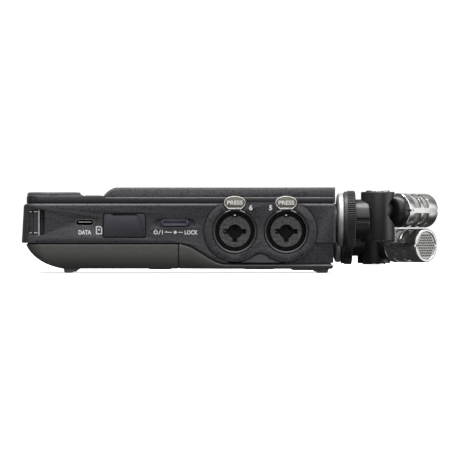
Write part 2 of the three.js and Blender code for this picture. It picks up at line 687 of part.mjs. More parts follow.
const cardSocket = () =>
  cut(
    box(centred(-52.5, 14), depth(-1, 18, 33.4), [22.9, 25.1]),
    box(centred(-52.5, 11.4), depth(-1, 19, 40), [23.5, 24.5]),
  );

// The card cover, drawn from its edge: flat, with a round bottom edge that it swings on.
function cardCover() {
  const half = CARD.thick / 2;
  const y = -CASE.halfWidth + half - 0.15;
  const axisZ = CARD.z[0] + 0.9;
  const edge = new THREE.Shape();
  edge.absarc(y, axisZ, half, Math.PI, 2 * Math.PI);
  edge.lineTo(y + half, CARD.z[1] - GAP);
  edge.lineTo(y - half, CARD.z[1] - GAP);
  const plate = prism("x", edge, [CARD.x[0] + GAP, CARD.x[1] - GAP], 5);
  return cut(plate, box(centred(-52.5, CARD.notch * 2), depth(-1, 36.3, 40), [CARD.z[1] - 1.1, 40]));
}

function powerSlider() {
  const { x, z, length, height } = SLIDER;
  const button = prism("y", slotShape(x, z, length, height), depth(-1, 36, 37.7));
  return joined(button, box(centred(x, 5), depth(-1, 31, 36.5), centred(z, 1.6)));
}

const strapBar = () => rod("z", STRAP.barRadius, [STRAP.z[0] - 1, STRAP.z[1] + 1], STRAP_BAR, TINY);

const audioJack = (xs) =>
  cut(
    joined(
      box([Math.min(...xs) - 3.5, Math.max(...xs) + 3.5], depth(1, 21, 33), centred(AUDIO.z, 7)),
      xs.map((x) => rod("y", AUDIO.collar, depth(1, 32, 36.8), [x, AUDIO.z], SMALL)),
    ),
    xs.map((x) => rod("y", AUDIO.bore, depth(1, 23, 40), [x, AUDIO.z], TINY)),
  );

function volumeRocker() {
  const { x, z, length, height } = ROCKER;
  const cap = prism("y", slotShape(x, z, length, height), depth(1, 34.6, 37.8));
  return joined(cap, box(centred(x, 2), depth(1, 32.5, 35), centred(z, 3)));
}

// ---------------------------------------------------------------- microphone unit

// The plated collar on the case that the microphone unit plugs into.
function micSocket() {
  const { flangeRadius: r, plugRadius, y, z } = MIC;
  const x = CASE.micEndX + GAP;
  const profile = [
    [0, x - 8], [6.2, x - 8], [6.2, x], [10.6, x], [12.2, x + 0.8], [r - 0.1, x + 2], [r, 56.6],
    [9.8, 56.6], [9.8, 59.4], [plugRadius + 0.2, 59.4], [plugRadius + 0.2, x + 1], [0, x + 1],
  ];
  return turned("x", profile, [y, z]);
}

// The knurled nut that clamps the unit to its socket.
function micRing() {
  const { ringRadius: r, ringX, neckRadius, y, z } = MIC;
  const [x0, x1] = ringX;
  const bore = neckRadius + 0.2;
  const profile = [
    [bore, x0], [r - 0.4, x0], [r - 0.1, x0 + 0.3], [r - 0.1, x0 + 1.6], [r, x0 + 1.6],
    [r, x1 - 0.5], [r - 0.5, x1], [bore, x1], [bore, x0],
  ];
  return turned("x", profile, [y, z], BIG);
}

// The arm: a plug, a round neck and an upright barrel, with a round room and a slot for the head's ball.
function micArm() {
  const { neckRadius, plugRadius, hingeX, barrelRadius, barrelZ, ballRadius, slotRadius, y, z, headZ } = MIC;
  const neck = rod("x", neckRadius, [59.8, hingeX - 4.35], [y, z], BIG);
  const plug = rod("x", plugRadius, [54.2, 60], [y, z]);
  const barrel = rod("z", barrelRadius, barrelZ, [hingeX, y], BIG);
  const room = new THREE.SphereGeometry(ballRadius + 0.35, ROUND, SMALL).translate(hingeX, y, headZ);
  return cut(
    joined(neck, plug, barrel),
    solidOf(room),
    rod("x", slotRadius, [hingeX, hingeX + PAST], [y, headZ]),
    rod("z", MIC.pinRadius + 0.15, [0, PAST * 2], [hingeX, y], SMALL),
  );
}

function hingePin() {
  const { hingeX, barrelZ, pinRadius, y } = MIC;
  const top = barrelZ[1] + 0.1;
  const profile = [
    [0, barrelZ[0] + 0.5], [pinRadius, barrelZ[0] + 0.5], [pinRadius, top], [6.7, top], [6.7, top + 0.3],
    [6.4, top + 0.6], [0, top + 0.6],
  ];
  return turned("z", profile, [hingeX, y]);
}

// The parts of the head are drawn with the capsule along local +X and the hinge at local x = 0, z = 0.
// Its base is a ball on the hinge pin, a narrow neck that swings in the barrel's slot, and a bell.
function headBase() {
  const { ballRadius, pinRadius, sleeve } = MIC;
  const ball = solidOf(new THREE.SphereGeometry(ballRadius, ROUND, SMALL));
  const neck = new THREE.CylinderGeometry(1, 1, 7, SMALL).rotateZ(Math.PI / 2).scale(1, 1.9, 2.9);
  const bell = [
    [0, 9], [4.6, 9], [6.4, 9.4], [7.6, 10.4], [8.2, 11.6], [8.35, 12.8],
    [8.35, sleeve[0] - 0.3], [7.7, sleeve[0] - 0.3], [7.7, sleeve[0] + 1.8], [0, sleeve[0] + 1.8],
  ];
  const made = joined(ball, solidOf(neck.translate(6.5, 0, 0)), turned("x", bell, [0, 0]));
  return cut(made, rod("z", pinRadius + 0.15, centred(0, 3 * ballRadius), [0, 0], SMALL));
}

// The plated sleeve: a thin tube with a chamfered nose and two rows of four windows.
function headSleeve() {
  const { sleeveRadius: r, sleeve, windows, strut } = MIC;
  const [start, end] = sleeve;
  const bore = r - 0.7;
  const tube = turned("x", [
    [bore, start], [r - 0.6, start], [r, start + 0.8], [r, end - 0.5], [r - 0.5, end],
    [6.9, end - 0.5], [6.9, end - 1.2], [bore, end - 1.2], [bore, start],
  ], [0, 0]);
  const beside = (sign) => (sign > 0 ? [strut, r + 2] : [-r - 2, -strut]);
  const quarters = [[1, 1], [-1, 1], [-1, -1], [1, -1]];
  const holes = windows.flatMap((x) => quarters.map(([a, b]) => box(x, beside(a), beside(b))));
  return cut(tube, holes);
}

const headLiner = () => {
  const [inner, outer, from, to] = [7.35, 7.65, MIC.sleeve[0] + 2.1, MIC.sleeve[0] + 15.5];
  return turned("x", [[inner, from], [outer, from], [outer, to], [inner, to], [inner, from]], [0, 0], SMALL + 8);
};

function headCapsule() {
  const from = MIC.sleeve[0] + 10;
  const profile = [
    [0, from], [5.5, from], [7.1, from + 2], [7.1, from + 8.4], [6.4, from + 8.4], [6.4, from + 8], [0, from + 8],
  ];
  return turned("x", profile, [0, 0], SMALL + 8);
}

function headGrille() {
  const end = MIC.sleeve[1];
  const profile = [
    [0, end - 1.7], [7.7, end - 1.7], [7.7, end - 1.4], [6.7, end - 1.4], [6.7, end - 0.7], [0, end - 0.7],
  ];
  return turned("x", profile, [0, 0], SMALL + 8);
}

// ---------------------------------------------------------------- assembly

const recorder = new THREE.Group();

function add(name, solid, material, parent = recorder) {
  const mesh = new THREE.Mesh(geometryOf(solid), material);
  mesh.name = name;
  parent.add(mesh);
}

add("main_frame", mainFrame(), MATERIAL.case);
add("top_panel", topPanel(), MATERIAL.case);
add("back_cover", backCover(), MATERIAL.cover);
add("battery_door", batteryDoor(), MATERIAL.cover);
add("battery_latch", batteryLatch(), MATERIAL.key);
add("touch_glass", touchGlass(), MATERIAL.gloss);
add("lcd_module", lcdModule(), MATERIAL.dark);
add("main_board", mainBoard(), MATERIAL.board);
add("battery_tray", batteryTray(), MATERIAL.dark);
add("battery_springs", batterySprings(), MATERIAL.steel);
for (let i = 0; i < 4; i++) add(`battery_cell_${i + 1}`, batteryCell(i), MATERIAL.cell);
for (const key of KEYS) add(key.name, transportKey(key), MATERIAL.key);
add("jog_wheel", jogWheel(), MATERIAL.key);
add("speaker_driver", speakerDriver(), MATERIAL.dark);
add("tripod_bush", tripodBush(), MATERIAL.brass);

// Inputs 3 and 4 are on the far side, and 6 and 5 on the near side.
const INPUTS = [
  { number: 3, side: 1, x: JACK.xs[1] },
  { number: 4, side: 1, x: JACK.xs[0] },
  { number: 5, side: -1, x: JACK.xs[1] },
  { number: 6, side: -1, x: JACK.xs[0] },
];
for (const { number, side, x } of INPUTS) {
  add(`jack_shell_${number}`, jackShell(side, x), MATERIAL.dark);
  add(`jack_core_${number}`, jackCore(side, x), MATERIAL.core);
  add(`jack_release_${number}`, jackRelease(side, x), MATERIAL.nickel);
}

add("usb_port", usbPort(), MATERIAL.steel);
add("card_socket", cardSocket(), MATERIAL.steel);
add("card_cover", cardCover(), MATERIAL.rubber);
add("power_slider", powerSlider(), MATERIAL.key);
add("strap_bar", strapBar(), MATERIAL.steel);
add("phones_jack", audioJack([AUDIO.phonesX]), MATERIAL.dark);
add("line_jack", audioJack(AUDIO.lineXs), MATERIAL.dark);
add("volume_rocker", volumeRocker(), MATERIAL.key);

// The second microphone unit is the first one turned half round the case's long axis.
for (const unit of ["a", "b"]) {
  const mount = new THREE.Group();
  if (unit === "b") {
    mount.scale.set(1, -1, -1);
    mount.position.z = 2 * MIC.midZ;
  }
  recorder.add(mount);
  add(`mic_socket_${unit}`, micSocket(), MATERIAL.steel, mount);
  add(`mic_ring_${unit}`, micRing(), MATERIAL.satin, mount);
  add(`mic_arm_${unit}`, micArm(), MATERIAL.satin, mount);
  add(`hinge_pin_${unit}`, hingePin(), MATERIAL.steel, mount);
  const head = new THREE.Group();
  head.position.set(MIC.hingeX, MIC.y, MIC.headZ);
  head.rotation.z = THREE.MathUtils.degToRad(MIC.toe);
  mount.add(head);
  add(`mic_base_${unit}`, headBase(), MATERIAL.satin, head);
  add(`mic_sleeve_${unit}`, headSleeve(), MATERIAL.steel, head);
  add(`mic_liner_${unit}`, headLiner(), MATERIAL.mesh, head);
  add(`mic_capsule_${unit}`, headCapsule(), MATERIAL.brass, head);
  add(`mic_grille_${unit}`, headGrille(), MATERIAL.steel, head);
}

export default recorder;
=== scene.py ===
import json
import math

import bmesh
import bpy
from mathutils import Matrix, Vector


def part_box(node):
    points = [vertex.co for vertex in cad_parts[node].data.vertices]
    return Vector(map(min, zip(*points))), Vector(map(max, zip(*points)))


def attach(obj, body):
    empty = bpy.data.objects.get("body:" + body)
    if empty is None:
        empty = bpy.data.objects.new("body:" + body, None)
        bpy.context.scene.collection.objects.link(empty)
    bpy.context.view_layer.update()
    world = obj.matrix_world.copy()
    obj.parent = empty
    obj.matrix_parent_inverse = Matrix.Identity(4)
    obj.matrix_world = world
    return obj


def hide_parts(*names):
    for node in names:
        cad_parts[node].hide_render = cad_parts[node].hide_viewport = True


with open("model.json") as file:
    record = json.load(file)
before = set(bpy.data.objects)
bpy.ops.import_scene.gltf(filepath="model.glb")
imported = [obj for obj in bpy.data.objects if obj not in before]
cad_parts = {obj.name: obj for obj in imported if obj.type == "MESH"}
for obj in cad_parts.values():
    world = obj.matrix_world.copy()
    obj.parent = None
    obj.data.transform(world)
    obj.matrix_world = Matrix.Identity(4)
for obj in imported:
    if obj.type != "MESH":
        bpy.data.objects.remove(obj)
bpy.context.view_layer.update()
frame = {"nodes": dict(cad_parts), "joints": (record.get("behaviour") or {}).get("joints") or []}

# Every length in this script is in millimetres, and every mesh is made in metres by this scale.
MM = 0.001
POINT = 0.001  # the radius that stands for none, where a turned profile meets its axis
ACROSS = (-60, 60)  # a range wider than the case, for tools that cut right through it


# ------------------------------------------------------------------ places taken from the frame

def span(node):
    """The lowest and highest corner of a CAD node, in millimetres."""
    low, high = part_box(node)
    return Vector(low) / MM, Vector(high) / MM


def middle(node):
    low, high = span(node)
    return (low + high) / 2


def joint(name):
    return next(j for j in frame["joints"] if j["name"] == name)


FRAME_LOW, FRAME_HIGH = span("main_frame")
DOOR_LOW, DOOR_HIGH = span("battery_door")
COVER_LOW = span("back_cover")[0]
FAR_END = FRAME_LOW.x  # the bowed end, away from the microphones
MIC_END = FRAME_HIGH.x
POD_FACE = FRAME_HIGH.y
SIDE = POD_FACE - 0.5  # the side faces of the case
FLOOR_Z = DOOR_LOW.z + 2  # underside of the case, above its feet
DOOR_TOP = DOOR_HIGH.z
SHOULDER = 33.15  # the side walls begin to round in
SHOULDER_RADIUS = 1.4
LEAN = 1.0  # how far the far end leans in by the shoulder
BAND_Z = 34.8  # the foot of the top panel's band
LEDGE_Z = 36.87  # the band rounds in under the screen block
DECK_Z = 38.4
BLOCK_Z = 42.2  # the top of the screen block, under its rim sheet
TOP_Z = span("top_panel")[1].z
DOOR_END = DOOR_HIGH.x
JACK_Z = middle("jack_core_5").z
JACK_XS = sorted(middle(f"jack_core_{n}").x for n in (5, 6))
WHEEL_X = middle("jog_wheel").x
WHEEL_RADIUS = (span("jog_wheel")[1].x - span("jog_wheel")[0].x) / 2
WHEEL_TOP = span("jog_wheel")[1].z
MIC_Y = middle("mic_ring_a").y
NECK_Z = middle("mic_ring_a").z
BARREL_LOW, BARREL_HIGH = 15.4, span("mic_arm_a")[1].z
MIDDLE_Z = (NECK_Z + middle("mic_ring_b").z) / 2
HINGE_X = middle("hinge_pin_a").x
HEAD_Z = middle("mic_sleeve_a").z
SLEEVE_RADIUS = (span("mic_sleeve_a")[1].z - span("mic_sleeve_a")[0].z) / 2
TOE = math.radians(45)  # how far each capsule turns inwards at rest


# ------------------------------------------------------------------ outlines

def arc(x, y, radius, start, end, steps):
    """Points on an arc, from one angle to another in degrees."""
    angles = [math.radians(start + (end - start) * i / steps) for i in range(steps + 1)]
    return [(x + radius * math.cos(a), y + radius * math.sin(a)) for a in angles]


def round_rect(x0, x1, y0, y1, radius, steps=6):
    return (
        arc(x1 - radius, y0 + radius, radius, -90, 0, steps)
        + arc(x1 - radius, y1 - radius, radius, 0, 90, steps)
        + arc(x0 + radius, y1 - radius, radius, 90, 180, steps)
        + arc(x0 + radius, y0 + radius, radius, 180, 270, steps)
    )


def around(centre, length, height, radius, steps=6):
    """A rounded rectangle about a centre."""
    (x, y), w, h = centre, length / 2, height / 2
    return round_rect(x - w, x + w, y - h, y + h, min(radius, w - 0.001, h - 0.001), steps)


def circle(x, y, radius, steps=64):
    return arc(x, y, radius, 0, 360, steps)[:-1]


def rect(x0, x1, y0, y1):
    return [(x0, y0), (x1, y0), (x1, y1), (x0, y1)]


def bezier(points, t):
    """The point at a share along a quadratic curve through three control points."""
    return ((1 - t) ** 2 * a + 2 * t * (1 - t) * b + t * t * c for a, b, c in zip(*points))


def mirrored(x, half):
    """A closed ring across the case at x, from the (y, z) points of its far half."""
    return [(x, y, z) for y, z in half + [(-y, z) for y, z in reversed(half)]]


# ------------------------------------------------------------------ solids

def placed(name, data):
    """A new object of the scene that shows a mesh, a text, a light or a camera."""
    obj = bpy.data.objects.new(name, data)
    bpy.context.scene.collection.objects.link(obj)
    return obj


def solid(points, faces):
    """A mesh object from points in millimetres, merged, with its faces turned outwards."""
    mesh = bpy.data.meshes.new("tool")
    mesh.from_pydata([Vector(p) * MM for p in points], [], faces)
    bm = bmesh.new()
    bm.from_mesh(mesh)
    bmesh.ops.remove_doubles(bm, verts=bm.verts, dist=1e-6)
    bmesh.ops.dissolve_degenerate(bm, edges=bm.edges, dist=1e-7)
    bmesh.ops.recalc_face_normals(bm, faces=bm.faces)
    bm.to_mesh(mesh)
    bm.free()
    return placed("tool", mesh)


def ball(radius, centre, around_it=96, from_pole_to_pole=48):
    mesh = bpy.data.meshes.new("tool")
    bm = bmesh.new()
    bmesh.ops.create_uvsphere(bm, u_segments=around_it, v_segments=from_pole_to_pole, radius=radius * MM)
    bmesh.ops.translate(bm, verts=bm.verts, vec=Vector(centre) * MM)
    bm.to_mesh(mesh)
    bm.free()
    return placed("tool", mesh)


def loft(rings, closed=False):
    """Rings of equal point count joined one to the next, capped at both ends or closed on themselves."""
    count = len(rings[0])
    last = len(rings) if closed else len(rings) - 1
    faces = []
    for ring in range(last):
        here, there = ring * count, (ring + 1) % len(rings) * count
        for i in range(count):
            j = (i + 1) % count
            faces.append((here + i, here + j, there + j, there + i))
    if not closed:
        faces.append(tuple(range(count)))
        faces.append(tuple(range(last * count, (last + 1) * count)))
    return solid([p for ring in rings for p in ring], faces)


# How (u, v) of an outline and w along its axis become x, y and z.
AXES = {"x": lambda u, v, w: (w, u, v), "y": lambda u, v, w: (u, w, v), "z": lambda u, v, w: (u, v, w)}


def prism(axis, outline, start, end):
    """An outline pushed along an axis: (x, y) along z, (x, z) along y, (y, z) along x."""
    turn = AXES[axis]
    return loft([[turn(u, v, w) for u, v in outline] for w in (start, end)])


def turned(axis, profile, centre, sides=72, closed=False):
    """A profile of (radius, place) turned about an axis through the centre of the other two coordinates."""
    turn = AXES[axis]
    rings = []
    for radius, place in profile:
        rings.append([turn(u, v, place) for u, v in circle(*centre, max(radius, 1e-4), sides)])
    return loft(rings, closed)


def rod(axis, radius, start, end, centre, sides=64):
    return turned(axis, [(radius, start), (radius, end)], centre, sides)


def box(x, y, z):
    return prism("z", rect(*x, *y), *z)


def ordered(a, b):
    return (a, b) if a < b else (b, a)


def side_span(side, inner, outer):
    return ordered(side * inner, side * outer)


def side_prism(side, outline, inner, outer):
    """An outline pushed through one side wall, between two distances from the middle of the case."""
    return prism("y", outline, *side_span(side, inner, outer))


def settle(obj):
    """Applies an object's modifiers to its mesh."""
    graph = bpy.context.evaluated_depsgraph_get()
    mesh = bpy.data.meshes.new_from_object(obj.evaluated_get(graph))
    obj.modifiers.clear()
    obj.data = mesh
    return obj


def combine(obj, tools, operation):
    for tool in tools:
        modifier = obj.modifiers.new("combine", "BOOLEAN")
        modifier.solver = "MANIFOLD"
        modifier.operation = operation
        modifier.object = tool
    settle(obj)
    for tool in tools:
        bpy.data.objects.remove(tool)
    return obj


def cut(obj, *tools):
    return combine(obj, tools, "DIFFERENCE")


def join(obj, *tools):
    return combine(obj, tools, "UNION")


def common(obj, *tools):
    return combine(obj, tools, "INTERSECT")


def soften(obj, width, segments=2, angle=30):
    """Rounds every edge sharper than an angle, after merging the flat faces that a cut leaves."""
    bm = bmesh.new()
    bm.from_mesh(obj.data)
    bmesh.ops.remove_doubles(bm, verts=bm.verts, dist=2e-6)
    bmesh.ops.dissolve_limit(bm, angle_limit=math.radians(0.4), verts=bm.verts, edges=bm.edges)
    bm.to_mesh(obj.data)
    bm.free()
    modifier = obj.modifiers.new("edges", "BEVEL")
    modifier.width = width * MM
    modifier.segments = segments
    modifier.limit_method = "ANGLE"
    modifier.angle_limit = math.radians(angle)
    modifier.use_clamp_overlap = False
    return settle(obj)


def moved(obj, matrix):
    obj.data.transform(matrix)
    if matrix.determinant() < 0:
        obj.data.flip_normals()
    return obj


def piece(obj, name, body, material, *nodes, smooth=35):
    """Gives a finished solid its name, its material, the body it rides on and the CAD nodes it stands for."""
    obj.name = name
    obj.data.name = name
    obj.data.materials.clear()
    obj.data.materials.append(material)
    obj.data.shade_smooth()
    obj.data.set_sharp_from_angle(angle=math.radians(smooth))
    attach(obj, body)
    if nodes:
        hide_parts(*nodes)


# ------------------------------------------------------------------ materials

class Shader:
    """A Principled material with procedural detail in object space."""

    def __init__(self, name, colour, roughness, metallic=0.0, coat=0.0, specular=0.5):
        self.material = bpy.data.materials.new(name)
        self.material.use_nodes = True
        self.tree = self.material.node_tree
        self.surface = self.tree.nodes["Principled BSDF"]
        self.colour = colour
        self.surface.inputs["Base Color"].default_value = (*colour, 1)
        self.surface.inputs["Roughness"].default_value = roughness
        self.surface.inputs["Metallic"].default_value = metallic
        self.surface.inputs["Coat Weight"].default_value = coat
        self.surface.inputs["Specular IOR Level"].default_value = specular
        self.place = self.node("ShaderNodeTexCoord").outputs["Object"]
        self.height = None

    def node(self, kind, **inputs):
        made = self.tree.nodes.new(kind)
        for key, value in inputs.items():
            made.inputs[key.replace("_", " ")].default_value = value
        return made

    def wire(self, start, end):
        self.tree.links.new(start, end)

    def stretched(self, scale):
        """Object coordinates scaled by axis, for brushed and turned grain."""
        mapping = self.node("ShaderNodeMapping")
        mapping.inputs["Scale"].default_value = scale
        self.wire(self.place, mapping.inputs["Vector"])
        return mapping.outputs["Vector"]

    def noise(self, size, detail=3.0, vector=None, rough=0.5):
        """Noise whose blobs are about a size in millimetres across."""
        made = self.node("ShaderNodeTexNoise", Scale=1 / (size * MM), Detail=detail, Roughness=rough)
        self.wire(vector or self.place, made.inputs["Vector"])
        return made.outputs["Fac"]

    def ramp(self, value, low, high, at=(0.0, 1.0)):
        """A value mapped from a range to greys or colours."""
        made = self.node("ShaderNodeValToRGB")
        for element, place, colour in zip(made.color_ramp.elements, at, (low, high)):
            element.position = place
            element.color = (*colour, 1) if isinstance(colour, tuple) else (colour, colour, colour, 1)
        self.wire(value, made.inputs["Fac"])
        return made.outputs["Color"]

    def tint(self, value, dark, light, at=(0.3, 0.7)):
        """Lets a value shade the base colour between two multiples of it."""
        low = tuple(c * dark for c in self.colour)
        high = tuple(c * light for c in self.colour)
        self.wire(self.ramp(value, low, high, at), self.surface.inputs["Base Color"])

    def shine(self, value, low, high):
        """Lets a value shade the roughness between two levels."""
        made = self.node("ShaderNodeMapRange")
        made.inputs["To Min"].default_value = low
        made.inputs["To Max"].default_value = high
        self.wire(value, made.inputs["Value"])
        self.wire(made.outputs["Result"], self.surface.inputs["Roughness"])

    def bump(self, value, depth):
        """Adds relief of a depth in millimetres, on top of any that is there already."""
        made = self.node("ShaderNodeBump", Strength=1.0, Distance=depth * MM)
        self.wire(value, made.inputs["Height"])
        if self.height:
            self.wire(self.height, made.inputs["Normal"])
        self.height = made.outputs["Normal"]
        self.wire(self.height, self.surface.inputs["Normal"])


def moulded(name, colour, roughness, grain, depth, dark=0.8, light=1.15):
    """Moulded plastic with an even spark-eroded grain."""
    made = Shader(name, colour, roughness)
    made.tint(made.noise(grain * 1.7, 2.0), dark, light, (0.38, 0.62))
    made.shine(made.noise(grain * 6), roughness - 0.08, roughness + 0.08)
    made.bump(made.noise(grain, 4.0), depth)
    return made.material


def speckled_case():
    """The case plastic: a fine grain with darker flecks scattered through it."""
    made = Shader("speckled_case", (0.0375, 0.0363, 0.043), 0.45)
    flecks = made.noise(0.9, 3.0, rough=0.7)
    made.tint(flecks, 0.05, 1.18, (0.39, 0.46))
    made.shine(made.noise(2.5), 0.4, 0.52)
    made.bump(made.noise(0.32, 4.0), 0.03)
    return made.material


def turned_metal(name, colour, roughness, axis, metallic=1.0):
    """Plated metal with fine turning marks round an axis."""
    made = Shader(name, colour, roughness, metallic)
    scale = {"x": (1, 0.02, 0.02), "z": (0.02, 0.02, 1)}[axis]
    marks = made.noise(0.12, 3.0, made.stretched(scale))
    made.tint(marks, 0.86, 1.08, (0.35, 0.65))
    made.shine(marks, roughness - 0.07, roughness + 0.09)
    made.bump(marks, 0.001)
    return made.material


def plain_metal(name, colour, roughness, grain=0.4):
    made = Shader(name, colour, roughness, 1.0)
    made.tint(made.noise(grain * 4), 0.88, 1.06, (0.35, 0.65))
    made.shine(made.noise(grain), roughness - 0.06, roughness + 0.08)
    made.bump(made.noise(grain, 3.0), 0.003)
    return made.material


def wire_cloth():
    """Fine woven wire behind the windows of the sleeves."""
    made = Shader("wire_cloth", (0.36, 0.35, 0.325), 0.5, 0.2)
    weave = made.node("ShaderNodeTexChecker", Scale=1 / (0.28 * MM))
    made.wire(made.place, weave.inputs["Vector"])
    made.tint(made.noise(0.25, 1.0), 0.6, 1.3, (0.4, 0.6))
    made.bump(weave.outputs["Fac"], 0.05)
    return made.material


def printed(name, colour):
    made = Shader(name, colour, 0.5)
    made.tint(made.noise(0.5), 0.94, 1.0)
    made.bump(made.noise(0.3), 0.004)
    return made.material


def screen_glass():
    """Black gloss glass, with the faintest wave in it."""
    made = Shader("screen_glass", (0.004, 0.004, 0.005), 0.06, coat=0.6)
    made.shine(made.noise(14, 2.0), 0.04, 0.09)
    made.bump(made.noise(40, 1.0), 0.01)
    return made.material


def circuit_board():
    made = Shader("circuit_board", (0.02, 0.10, 0.04), 0.45)
    tracks = made.node("ShaderNodeTexBrick", Scale=1 / (9 * MM))
    made.wire(made.place, tracks.inputs["Vector"])
    made.tint(tracks.outputs["Fac"], 1.0, 1.5, (0.2, 0.6))
    made.bump(tracks.outputs["Fac"], 0.03)
    return made.material


def cell_wrap():
    """The dark printed wrapper of a cell."""
    made = Shader("cell_wrap", (0.10, 0.10, 0.11), 0.32, 0.2)
    made.tint(made.noise(3.0), 0.9, 1.1)
    made.bump(made.noise(1.0), 0.004)
    return made.material


SPECKLED = speckled_case()
COVER = moulded("cover_plastic", (0.150, 0.148, 0.144), 0.42, 0.4, 0.016, 0.9, 1.08)
BAND = moulded("band_plastic", (0.019, 0.019, 0.022), 0.36, 0.3, 0.006, 0.92, 1.08)
RIM = moulded("rim_gloss", (0.006, 0.006, 0.007), 0.18, 0.5, 0.003, 0.9, 1.1)
# The jack rim is the black cup's inward bevel, drawn in a lighter grey than the cup: painted highlight on top
# of the light the real bevel catches.
JACK_RIM_HIGHLIGHT = moulded("jack_rim_painted_highlight", (0.075, 0.075, 0.08), 0.6, 0.3, 0.004, 0.9, 1.1)
RUBBER = moulded("cover_rubber", (0.025, 0.025, 0.036), 0.6, 0.3, 0.008, 0.92, 1.08)
SLIDER = moulded("slider_plastic", (0.046, 0.044, 0.065), 0.42, 0.3, 0.008, 0.9, 1.1)
KEY = moulded("key_plastic", (0.040, 0.040, 0.044), 0.5, 0.3, 0.008, 0.9, 1.1)
WHEEL = moulded("wheel_plastic", (0.060, 0.060, 0.067), 0.38, 0.3, 0.006, 0.9, 1.1)
PORT = plain_metal("port_nickel", (0.30, 0.30, 0.31), 0.35)
CORE = moulded("jack_core_plastic", (0.072, 0.072, 0.077), 0.45, 0.6, 0.03, 0.5, 1.3)
SOCKET = moulded("jack_black", (0.008, 0.008, 0.009), 0.35, 0.4, 0.006, 0.8, 1.2)
SATIN = moulded("mic_satin", (0.015, 0.0155, 0.0165), 0.34, 0.3, 0.003, 0.9, 1.08)
KNURL = moulded("knurled_satin", (0.034, 0.034, 0.036), 0.45, 0.3, 0.003, 0.9, 1.08)
DULL = moulded("inner_black", (0.01, 0.01, 0.011), 0.7, 0.5, 0.01)
NICKEL = plain_metal("tab_nickel", (0.25, 0.235, 0.205), 0.5)
BRIGHT = plain_metal("bright_nickel", (0.80, 0.78, 0.74), 0.16)
PLATE = turned_metal("socket_plate", (0.55, 0.55, 0.535), 0.42, "x", 0.6)
SLEEVE = plain_metal("sleeve_steel", (0.58, 0.58, 0.57), 0.30, 0.5)
GRILLE = plain_metal("grille_steel", (0.36, 0.36, 0.355), 0.35)
CHROME = plain_metal("chrome", (0.82, 0.82, 0.81), 0.09)
STRAP_STEEL = plain_metal("strap_steel", (0.72, 0.70, 0.66), 0.4)
CAP = turned_metal("cap_steel", (0.60, 0.60, 0.59), 0.25, "z")
GOLD = plain_metal("contact_brass", (0.62, 0.46, 0.20), 0.28)
CLOTH = wire_cloth()
WHITE = printed("white_print", (0.88, 0.88, 0.89))
RED = printed("red_print", (0.45, 0.02, 0.02))
TABLET = printed("tab_letters", (0.92, 0.91, 0.88))
GLASS = screen_glass()
BOARD = circuit_board()
CELL = cell_wrap()


# ------------------------------------------------------------------ the case

BOW_RADIUS = 187.0  # the far end's curve, seen from above
FAR_CORNER, MIC_CORNER = 7.0, 1.8


def plan(inset, end, front):
    """The case seen from above, drawn in by so much at its sides, its bowed far end and its square front."""
    half = SIDE - inset
    left, right = FAR_END + end, MIC_END - front
    radius = max(FAR_CORNER - inset, 1.0)
    reach = BOW_RADIUS - radius
    lean = math.degrees(math.asin((half - radius) / reach))
    bow_x = left + BOW_RADIUS
    corner_x = bow_x - reach * math.cos(math.radians(lean))
    corner_y = half - radius
    near = max(MIC_CORNER - inset * 0.2, 0.3)
    return (
        arc(right - near, -half + near, near, -90, 0, 4)
        + arc(right - near, half - near, near, 0, 90, 4)
        + arc(corner_x, corner_y, radius, 90, 180 - lean, 10)
        + arc(bow_x, 0, BOW_RADIUS, 180 - lean, 180 + lean, 16)[1:-1]
        + arc(corner_x, -corner_y, radius, 180 + lean, 270, 10)
    )


def at_height(outline, z):
    return [(x, y, z) for x, y in outline]


def stack(levels, front=0.0):
    """A solid through plan outlines, each level a height, a side inset and a far end inset."""
    return loft([at_height(plan(side, end, front), z) for z, side, end in levels])


# The underside's curve, as side inset, end inset and height, from the seam down to the floor.
BELLY = [(0.25, 2.0, DOOR_TOP - 0.1), (2.2, 6.5, 4.6), (11.0, 20.0, FLOOR_Z)]


def belly(skin=0.0):
    """The rounded underside, with an even skin taken off it, open upwards when it has one."""
    rings, steps = [], 16
    for i in range(steps + 1):
        t = 1 - i / steps
        side, end, z = bezier(BELLY, t)
        rings.append(at_height(plan(side + skin, end + skin, skin), z + skin * t))
    if skin:
        top = plan(BELLY[0][0] + skin, 2 + skin, skin)
        rings.append(at_height(top, DOOR_TOP + 20))
    return loft(rings)


SWEEP_FROM, SWEEP_TO = -25.5, -1.5
SWEEP_HIGH, SWEEP_LOW = 14.95, 5.0
WALL = 3.2  # the frame's side walls
SKIN = 1.6  # the walls of the battery door and the back cover
COVER_END = 51.3  # the back cover stops here, and the frame's end wall begins
RECESS_TOP = 15.1  # the low recess beside the jack pods
SEAM = 0.75  # the shadow line between the frame and the covers below it


def sweep(x):
    """The height of the frame's lower edge."""
    t = min(max((x - SWEEP_FROM) / (SWEEP_TO - SWEEP_FROM), 0.0), 1.0)
    return SWEEP_LOW + (SWEEP_HIGH - SWEEP_LOW) * (1 + math.cos(math.pi * t)) / 2


def under_sweep(drop=0.0):
    """Everything below the frame's lower edge, which sweeps down in front of the jacks."""
    steps = 40
    xs = [SWEEP_FROM + (SWEEP_TO - SWEEP_FROM) * i / steps for i in range(steps + 1)]
    curve = [(x, sweep(x) - drop) for x in [-150, *xs, 90]]
    return prism("y", [(-150, -20), *curve, (90, -20)], *ACROSS)


POD_RADIUS = 15.2
POD_TOP = 34.95


